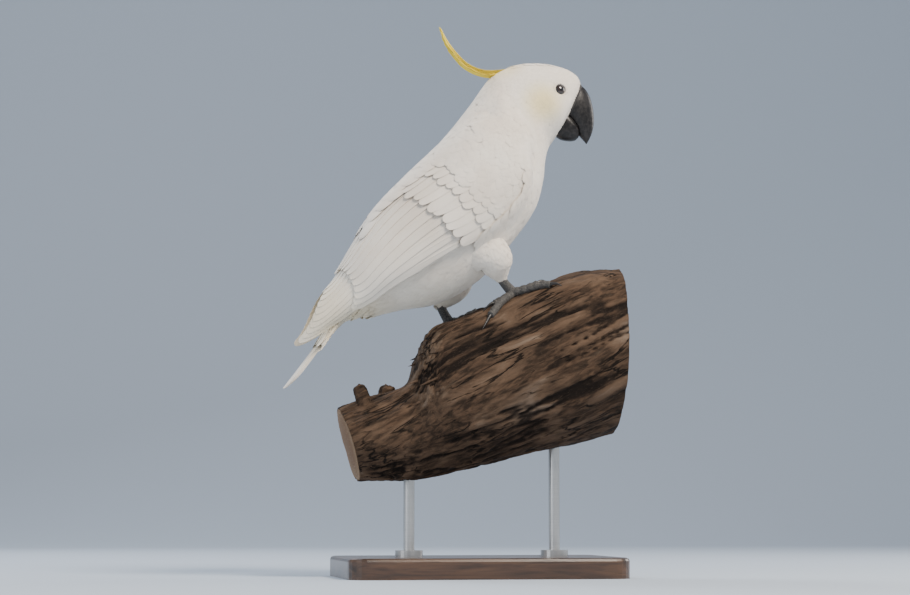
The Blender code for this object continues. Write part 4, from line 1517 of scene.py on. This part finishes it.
class LimbSurface(SectionSurface):
    """The form of the cut limb, from its thin end at 0 to its thick end at 10."""

    # top x, z, underside x, z and half width, in mm
    stations = (
        (-149, -103, -125.5, -184, 40),
        (-116, -92, -96, -184, 46),
        (-90.5, -85, -74.5, -183, 51),
        (-73.5, -74, -61, -181, 56),
        (-62, -40, -48, -178, 64),
        (-46, -16, -31.5, -173, 71),
        (-8, 1, 2, -164, 77),
        (37.5, 20, 41, -153, 79),
        (76.5, 37, 80.5, -145, 80),
        (112, 50, 114, -138, 79),
        (157, 56, 153, -126, 75),
    )
    # count round the limb, height in mm and start of each ridge
    ridges = ((3, 1.6, 0.4), (5, 1.2, 1.9), (8, 0.7, 3.1))
    grain = (154.0, 0.0, 80.0)

    def at(self, s: Array, turn: Array) -> Array:
        """Returns the points at station s and turn, in radians from the top towards the left."""
        middle, offset = self.section(s, turn)
        ridge = sum(high * np.sin(count * turn + start + 0.35 * s) for count, high, start in self.ridges)
        return middle + self.origin + offset + unit(offset) * (ridge * MM)[..., None]

    def along_grain(self, points: Array, length: float, width: float) -> Array:
        """Returns points counted in lengths along the grain and widths across it, both in metres."""
        ahead = unit(np.array(self.grain))
        axes = np.stack((ahead / length, SIDEWAYS / width, np.cross(ahead, SIDEWAYS) / width), -1)
        return (points - self.origin) @ axes


@dataclass
class Limb:
    """The cut length of dead limb, cracked along its grain and broken in a step behind the bird."""

    form: LimbSurface
    rings: int = 210
    sides: int = 216
    lump: float = 2.8
    # length and width in metres and seed of the lumps, plates, cracks, fibres and spans of cracks
    patterns: tuple = (
        (0.11, 0.04, 0),
        (0.11, 0.014, 7),
        (0.30, 0.017, 3),
        (0.05, 0.0032, 11),
        (0.16, 0.05, 5),
    )
    crack: float = 0.15
    # stumps of twigs: foot in mm, lean, length and radius in mm
    knobs: tuple = (
        ((-122, -8, -97), (-0.30, 0.10, 1.0), 20, 8.0),
        ((-96, 10, -90), (0.15, -0.20, 1.0), 13, 9.0),
    )
    # a stump's share of its length and of its radius
    knob_form: tuple = (
        (0.0, 1.3),
        (0.3, 1.15),
        (0.5, 1.0),
        (0.62, 0.96),
        (0.74, 0.92),
        (0.85, 0.86),
        (0.93, 0.74),
        (0.98, 0.5),
        (1.0, 0.2),
    )
    knob_root: float = 8.0
    splinters: int = 9
    tree: BVHTree | None = None

    def wood(self) -> bpy.types.Material:
        """Returns the finish of the weathered wood and bark, with painted shade in its cracks and low parts.
        """
        paint = Paint("limb_weathered", 0.9, Specular_IOR_Level=0.2)
        turn = (0, -math.atan2(self.form.grain[2], self.form.grain[0]), 0)
        grain = paint.noise(26.0, 10.0, 0.8, (2.0, 9.0, 9.0), turn)
        fine = paint.noise(120.0, 8.0, 0.6, (2.4, 10.0, 10.0), turn)
        seam = paint.noise(34.0, 6.0, 0.35, (0.30, 2.2, 2.2), turn)
        seam = (seam - 0.5).size().ease(0.028, 0.004) * paint.noise(22.0).ease(0.42, 0.58)
        patch = paint.noise(26.0, 8.0, 0.9, (0.5, 1.4, 1.4), turn)
        height = paint.attribute("height")
        colour = paint.blend(grain.ease(0.30, 0.72), (0.022, 0.014, 0.009), (0.092, 0.055, 0.034))
        for factor, over in (
            (patch.ease(0.46, 0.62) * 0.7, (0.135, 0.085, 0.054)),
            (patch.ease(0.60, 0.76) * 0.8, (0.215, 0.158, 0.115)),
            # painted shade: the bark's low parts, its cracks and splits, are darkened towards near black
            (1 - height.ease(-2.4, 0.1), (0.010, 0.006, 0.004)),
            (height.ease(0.35, 1.1) * 0.35, (0.20, 0.145, 0.10)),
            (fine.ease(0.56, 0.80) * 0.3, (0.215, 0.150, 0.102)),
            # painted shade: the thin crack lines are painted near black
            (seam, (0.008, 0.005, 0.003)),
        ):
            colour = paint.blend(factor, colour, over)
        paint.colour(colour)
        return paint.relief(grain, 1.6, 0.8).relief(fine, 0.7, 0.9).relief(1 - seam, 1.6, 0.9).material

    @staticmethod
    def sawn(name: str, pith: Vector) -> bpy.types.Material:
        """Returns the finish of a sawn end, with growth rings round its pith."""
        paint = Paint(name, 0.8, Specular_IOR_Level=0.25)
        far = paint.distance(pith)
        ring = ((far * 1450.0 + paint.noise(16.0) * 16.0).sine() + 1) * 0.5
        rough = paint.noise(60.0, 4.0, 0.0, (1, 1, 14))
        wood = paint.blend(far.ease(0.018, 0.055), (0.165, 0.095, 0.052), (0.30, 0.205, 0.125))
        wood = paint.blend(ring**2.0 * 0.42, wood, (0.115, 0.066, 0.036))
        paint.colour(paint.blend(rough.ease(0.5, 0.8) * 0.35, wood, (0.36, 0.27, 0.18)))
        return paint.relief(rough + ring * 0.4, 0.5, 0.6).material

    def bark(self) -> tuple[Array, Array]:
        """Returns the limb's rings of points, and their heights in mm over its lumps."""
        form = self.form
        s, turn = np.meshgrid(np.linspace(0, 10, self.rings), turns(self.sides), indexing="ij")
        points = form.at(s, turn)
        out = unit(points - form.section(s, turn)[0] - form.origin)
        lumps, plates, cracks, fibres, span = (
            roughen(form.along_grain(points, length, width), 1.0, 1.0, seed)
            for length, width, seed in self.patterns
        )
        split = np.exp(-((cracks / self.crack) ** 2)) * ease(-0.15, 0.25, span)
        broken = ease(2.9, 3.7, s) * ease(5.6, 4.6, s) * ease(-0.1, 0.7, np.cos(turn))
        height = 0.9 * ease(-0.05, 0.10, plates) - 2.4 * split + 0.45 * fibres - 0.6
        height = height + broken * (2.4 * fibres + 3.0 * cracks)
        return points + out * ((height + lumps * self.lump) * MM)[..., None], height

    def build(self) -> None:
        """Builds the limb."""
        points, height = self.bark()
        bm = bmesh.new()
        loft(bm, points)
        mesh = taken(bm)
        values = np.zeros(len(mesh.vertices), np.float32)
        values[: height.size] = height.ravel()
        mesh.attributes.new("height", "FLOAT", "POINT").data.foreach_set("value", values)
        self.tree = BVHTree.FromPolygons([v.co for v in mesh.vertices], [p.vertices for p in mesh.polygons])
        wood = self.wood()
        made("limb", mesh, wood, "limb_wood", "perch_limb", angle=65)
        pith_offset = (points[0][0] - points[0].mean(axis=0)) * 0.12
        for name, ring, inside in (("low", points[0], points[2]), ("high", points[-1], points[-3])):
            middle = ring.mean(axis=0)
            proud = unit(middle - inside.mean(axis=0)) * 0.4 * MM
            rim = middle + (ring - middle) * 0.965
            bm = bmesh.new()
            loft(bm, [rim - proud * 4, rim + proud, middle + (rim - middle) * 0.985 + proud * 1.6])
            finish = self.sawn(f"sawn_{name}", Vector(middle + pith_offset))
            made(f"limb_end_{name}", bm, finish, "limb_wood", angle=40)
        bm = bmesh.new()
        self.stumps(bm)
        self.splintered(bm)
        made("limb_stubs", bm, wood, "limb_wood", angle=35)

    def stumps(self, bm: bmesh.types.BMesh) -> None:
        """Adds the stumps of twigs."""
        share, radii = np.array(self.knob_form).T
        for foot, lean, length, radius in self.knobs:
            heading = unit(np.array(lean))
            start = np.array(foot) * MM + self.form.origin - heading * self.knob_root * MM
            path = start + heading * ((length + self.knob_root) * MM * share)[:, None]
            rings = tube(path, radius * MM * radii, 28)
            rough = roughen(rings * np.array((1, 1, 0.25)), 0.0035, 1.4 * MM, 2)[..., None]
            torn = roughen(rings, 0.003, 2.0 * MM, 9)[..., None]
            loft(bm, rings + unit(rings - path[:, None]) * rough + heading * torn)

    def splintered(self, bm: bmesh.types.BMesh) -> None:
        """Adds the splinters of the broken step."""
        rng = np.random.default_rng(SEED)
        s = rng.uniform(3.0, 4.9, self.splinters)
        points, _, _, out = self.form.frame_at(s, rng.uniform(-1.15, 1.15, self.splinters))
        grain = unit(np.array(self.form.grain))
        share = np.linspace(0, 1, 16)[:, None]
        for number, (point, normal) in enumerate(zip(points, out)):
            lean = unit(-grain + normal * rng.uniform(0.05, 0.30) + rng.uniform(-0.10, 0.10, 3))
            length, radius = rng.uniform(12, 26) * MM, rng.uniform(1.6, 3.8) * MM
            path = point + lean * length * (share - 0.6)
            widen = rng.uniform(1.0, 1.9)
            rings = tube(path, radius * (1.05 - share[:, 0] ** 1.4), 14, widen, tuple(normal))
            rough = roughen(self.form.along_grain(rings, 0.016, 0.0026), 1.0, radius * 0.55, number)
            loft(bm, rings + unit(rings - path[:, None]) * (rough * (1.1 - share))[..., None])


@dataclass
class Foot:
    """A bare scaly foot with two toes ahead and two behind, and their claws."""

    origin: Array
    tree: BVHTree
    side: Side
    # heading in degrees from straight ahead, length, root radius in mm and the number of its joints
    toes: tuple = ((-14, 32, 4.3, 2), (24, 44, 4.6, 3), (166, 24, 4.0, 2), (142, 38, 4.4, 3))
    claw_length: float = 14.5 * MM
    scute: float = 2.3 * MM
    steepest: float = 1.2

    def height(self, spot: Array) -> float:
        """Returns the height of the limb's top under a spot."""
        hit = self.tree.ray_cast(Vector((spot[0], spot[1], 2.0)), Vector((0, 0, -1)))[0]
        return hit.z if hit else -1.0

    def lying(self, spots: Array, lift: Array) -> Array:
        """Returns the spots set on the limb, lifted, and no steeper than a toe can bend."""
        tops = np.array([self.height(spot) for spot in spots])
        tops = np.convolve(np.pad(tops, 3, mode="edge"), np.ones(7) / 7, mode="valid") + lift
        for i in range(1, len(tops)):
            run = np.linalg.norm(spots[i, :2] - spots[i - 1, :2])
            tops[i] = max(tops[i], tops[i - 1] - self.steepest * run)
        return np.column_stack((spots[:, :2], tops))

    def build(self, skin: bpy.types.Material, horn: bpy.types.Material) -> None:
        """Builds the foot and its claws."""
        _, ankle, ball = LEGS[self.side]
        ball = np.array((*ball, 0.0)) * MM + self.origin
        ankle = np.array(ankle) * MM + self.origin
        ball[2] = self.height(ball) + 6.0 * MM
        foot, claws = bmesh.new(), bmesh.new()
        share = np.linspace(0, 1, 26)
        path = mix(ankle + unit(ankle - ball) * 6 * MM, ball, share[:, None])
        path[:, 0] += np.sin(share * math.pi) * -1.5 * MM
        loft(foot, tube(path, mix(4.9, 6.0, share**3) * MM, 20, up=(1, 0, 0)))
        for degrees, length, radius, joints in self.toes:
            angle = self.side.value * math.radians(degrees)
            heading = np.array((math.cos(angle), math.sin(angle), 0))
            share = np.linspace(0, 1, int(length / 0.6))
            reach = length * MM * share
            size = radius * MM * mix(1.08, 0.82, share)
            size *= 1 + 0.10 * np.cos(2 * math.pi * joints * share) ** 2
            size += 0.17 * MM * np.abs(np.sin(math.pi * reach / self.scute)) ** 0.5
            path = self.lying(ball - heading * 2 * MM + heading * reach[:, None], size * 0.80)
            size[-1] *= 0.72
            loft(foot, tube(path, size, 16, 1.06))
            bend = np.linspace(0, 1, 15)
            along = path[-1] + heading * (self.claw_length * bend[:, None] - 1.5 * MM)
            arch = 1.9 * MM * np.sin(math.pi * np.minimum(1.0, bend * 1.05)) + mix(2.9, 0.2, bend**1.3) * MM
            tips = self.lying(along, arch)
            tips[0, 2] = path[-1][2]
            loft(claws, tube(tips, mix(2.7, 0.35, bend**0.9) * MM, 12, 0.78))
        made(f"foot_skin_{self.side.word}", foot, skin, "leg_skin", f"foot_{self.side.word}")
        made(f"claws_{self.side.word}", claws, horn, "bill")


def foot_skin() -> bpy.types.Material:
    """Returns the finish of the feet's scaly skin."""
    paint = Paint("foot_scales", 0.62, Specular_IOR_Level=0.4)
    cells = {"Vector": paint.place(), "Scale": 520.0}
    plate = paint.wire("TexVoronoi", "Distance", {"feature": "DISTANCE_TO_EDGE"}, cells).ease(0.02, 0.16)
    dust = paint.noise(130.0, 4.0).ease(0.4, 0.75)
    grey = paint.blend(dust, (0.045, 0.043, 0.042), (0.095, 0.090, 0.085))
    return paint.colour(paint.blend(plate, (0.105, 0.098, 0.090), grey)).relief(plate, 0.35, 0.8).material


def claw_horn() -> bpy.types.Material:
    """Returns the finish of the claws."""
    paint = Paint("claw_horn", 0.35, Specular_IOR_Level=0.5).colour((0.020, 0.019, 0.019))
    return paint.relief(paint.noise(600.0), 0.15, 0.5).material


# ---- stand and studio ----


def dress_stand() -> None:
    """Gives the display stand's solids their finishes: a stained wooden base and two steel rods."""
    wood = Paint("stand_stained_wood", 0.32, Coat_Weight=0.5, Coat_Roughness=0.18)
    grain = wood.noise(7.0, 8.0, 1.2, (1.0, 14.0, 14.0)).ease(0.3, 0.7)
    pores = wood.noise(45.0, 4.0, 0.0, (1.0, 30.0, 30.0)).ease(0.55, 0.72)
    colour = wood.blend(grain, (0.030, 0.015, 0.008), (0.105, 0.052, 0.026))
    wood.colour(wood.blend(pores * 0.6, colour, (0.012, 0.006, 0.004))).relief(1 - pores, 0.12, 0.5)
    steel = Paint("stand_brushed_steel", 0.3, Metallic=1.0)
    brushed = steel.noise(30.0, 4.0, 0.0, (1.0, 1.0, 60.0))
    steel.colour(steel.blend(brushed, (0.52, 0.51, 0.49), (0.68, 0.67, 0.65)))
    steel.feed(steel.inputs["Roughness"], 0.24 + 0.14 * brushed)
    for name, paint in (("stand_base", wood), ("stand_rod_1", steel), ("stand_rod_2", steel)):
        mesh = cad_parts[name].data
        mesh.materials.clear()
        mesh.materials.append(paint.material)
        LOG.info("%s dressed", name)


@dataclass
class Studio:
    """The plain floor with its backdrop, the soft lights and the camera."""

    target: tuple = (0.005, 0.0, 0.303)
    distance: float = 2.4
    azimuth: float = -10.0
    camera_height: float = 0.068
    lens: float = 87.0
    floor_colour: tuple = (0.50, 0.57, 0.66)
    sky: tuple = (0.80, 0.86, 0.95, 1)
    sky_strength: float = 0.55
    # half width, front and depth of the floor, radius and step of its bend, height of the backdrop
    half_width: float = 6.0
    front: float = -4.0
    depth: float = 6.2
    bend: float = 1.6
    bend_step: float = 0.11
    high: float = 3.0
    light_aim: float = 0.1  # how far over the camera's target the lights aim
    # place, size, power and colour of each soft light
    lights: tuple = (
        ((0.95, -1.45, 2.05), 0.9, 84, (1.0, 0.90, 0.78)),
        ((-1.9, -1.2, 0.9), 1.6, 13, (0.90, 0.94, 1.0)),
        ((-0.9, 1.5, 1.7), 1.1, 30, (0.95, 0.97, 1.0)),
        ((1.7, 0.5, 0.9), 1.0, 12, (1.0, 0.95, 0.9)),
    )

    def floor(self) -> None:
        """Builds the floor and the backdrop that it curves up into."""
        angles = np.arange(15) * self.bend_step
        bent = self.bend * np.column_stack((0 * angles, np.sin(angles), 1 - np.cos(angles)))
        path = [Vector((0, self.depth, 0)), *map(Vector, np.diff(bent, axis=0)), Vector((0, 0, self.high))]
        bm = bmesh.new()
        line = [bm.edges.new([bm.verts.new((x, self.front, 0)) for x in (-self.half_width, self.half_width)])]
        for move in path:
            new = bmesh.ops.extrude_edge_only(bm, edges=line)["geom"]
            verts = [item for item in new if isinstance(item, bmesh.types.BMVert)]
            bmesh.ops.translate(bm, vec=move, verts=verts)
            line = [e for e in new if isinstance(e, bmesh.types.BMEdge) and all(v in verts for v in e.verts)]
        paint = Paint("floor_plain", 0.85, Specular_IOR_Level=0.2).colour(self.floor_colour)
        floor = made("floor", bm, paint.material, "")

    @staticmethod
    def held(data: bpy.types.ID, place: Vector, target: Vector) -> bpy.types.Object:
        """Returns a new object that holds a camera or a light, turned to a target."""
        holder = bpy.data.objects.new(data.name, data)
        holder.location = place
        holder.rotation_euler = (target - holder.location).to_track_quat("-Z", "Y").to_euler()
        bpy.context.scene.collection.objects.link(holder)
        return holder

    def build(self) -> None:
        """Builds the stage, the lights and the camera."""
        self.floor()
        target = Vector(self.target)
        for number, (place, size, power, colour) in enumerate(self.lights):
            lamp = bpy.data.lights.new(f"softbox_{number}", "AREA")
            lamp.shape, lamp.size, lamp.energy, lamp.color = "DISK", size, power, colour
            self.held(lamp, Vector(place), target + Vector((0, 0, self.light_aim)))
        world = bpy.data.worlds.new("studio")
        world.use_nodes = True
        background = world.node_tree.nodes["Background"].inputs
        background["Color"].default_value = self.sky
        background["Strength"].default_value = self.sky_strength
        bpy.context.scene.world = world
        camera = bpy.data.cameras.new("camera")
        camera.lens = self.lens
        camera.clip_start = 0.05
        turn = math.radians(self.azimuth)
        flat = math.sqrt(self.distance**2 - (target.z - self.camera_height) ** 2)
        back = Vector((math.sin(turn), -math.cos(turn), 0)) * flat
        place = Vector((target.x, target.y, self.camera_height)) + back
        bpy.context.scene.camera = self.held(camera, place, target)


def main() -> None:
    """Builds the model and its studio."""
    logging.basicConfig(level=logging.INFO, format="%(message)s")
    rng = np.random.default_rng(SEED)
    low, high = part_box("stand_base")
    origin = Vector(((low.x + high.x) / 2 - BASE_CENTRE_X, 0, high.z + BASE_DROP))
    form = BirdForm(origin)
    plumage = Plumage(origin)
    white, skin = plumage.feathers("plumage_white"), plumage.skin()
    Skin(form, skin).build()
    Contour(form, white, rng).build()
    for side in Side:
        Wing(form, white, rng, side).build()
    Tail(form, white, rng).build()
    Crest(form, plumage.feathers("plumage_sulphur", crest=True), rng).build()
    Bill(origin).build()
    Eyes(form, skin).build()
    limb = Limb(LimbSurface(origin, LimbSurface.stations))
    limb.build()
    scales, horn = foot_skin(), claw_horn()
    for side in Side:
        Foot(np.array(origin), limb.tree, side).build(scales, horn)
    dress_stand()
    Studio().build()


if __name__ == "__main__":
    main()
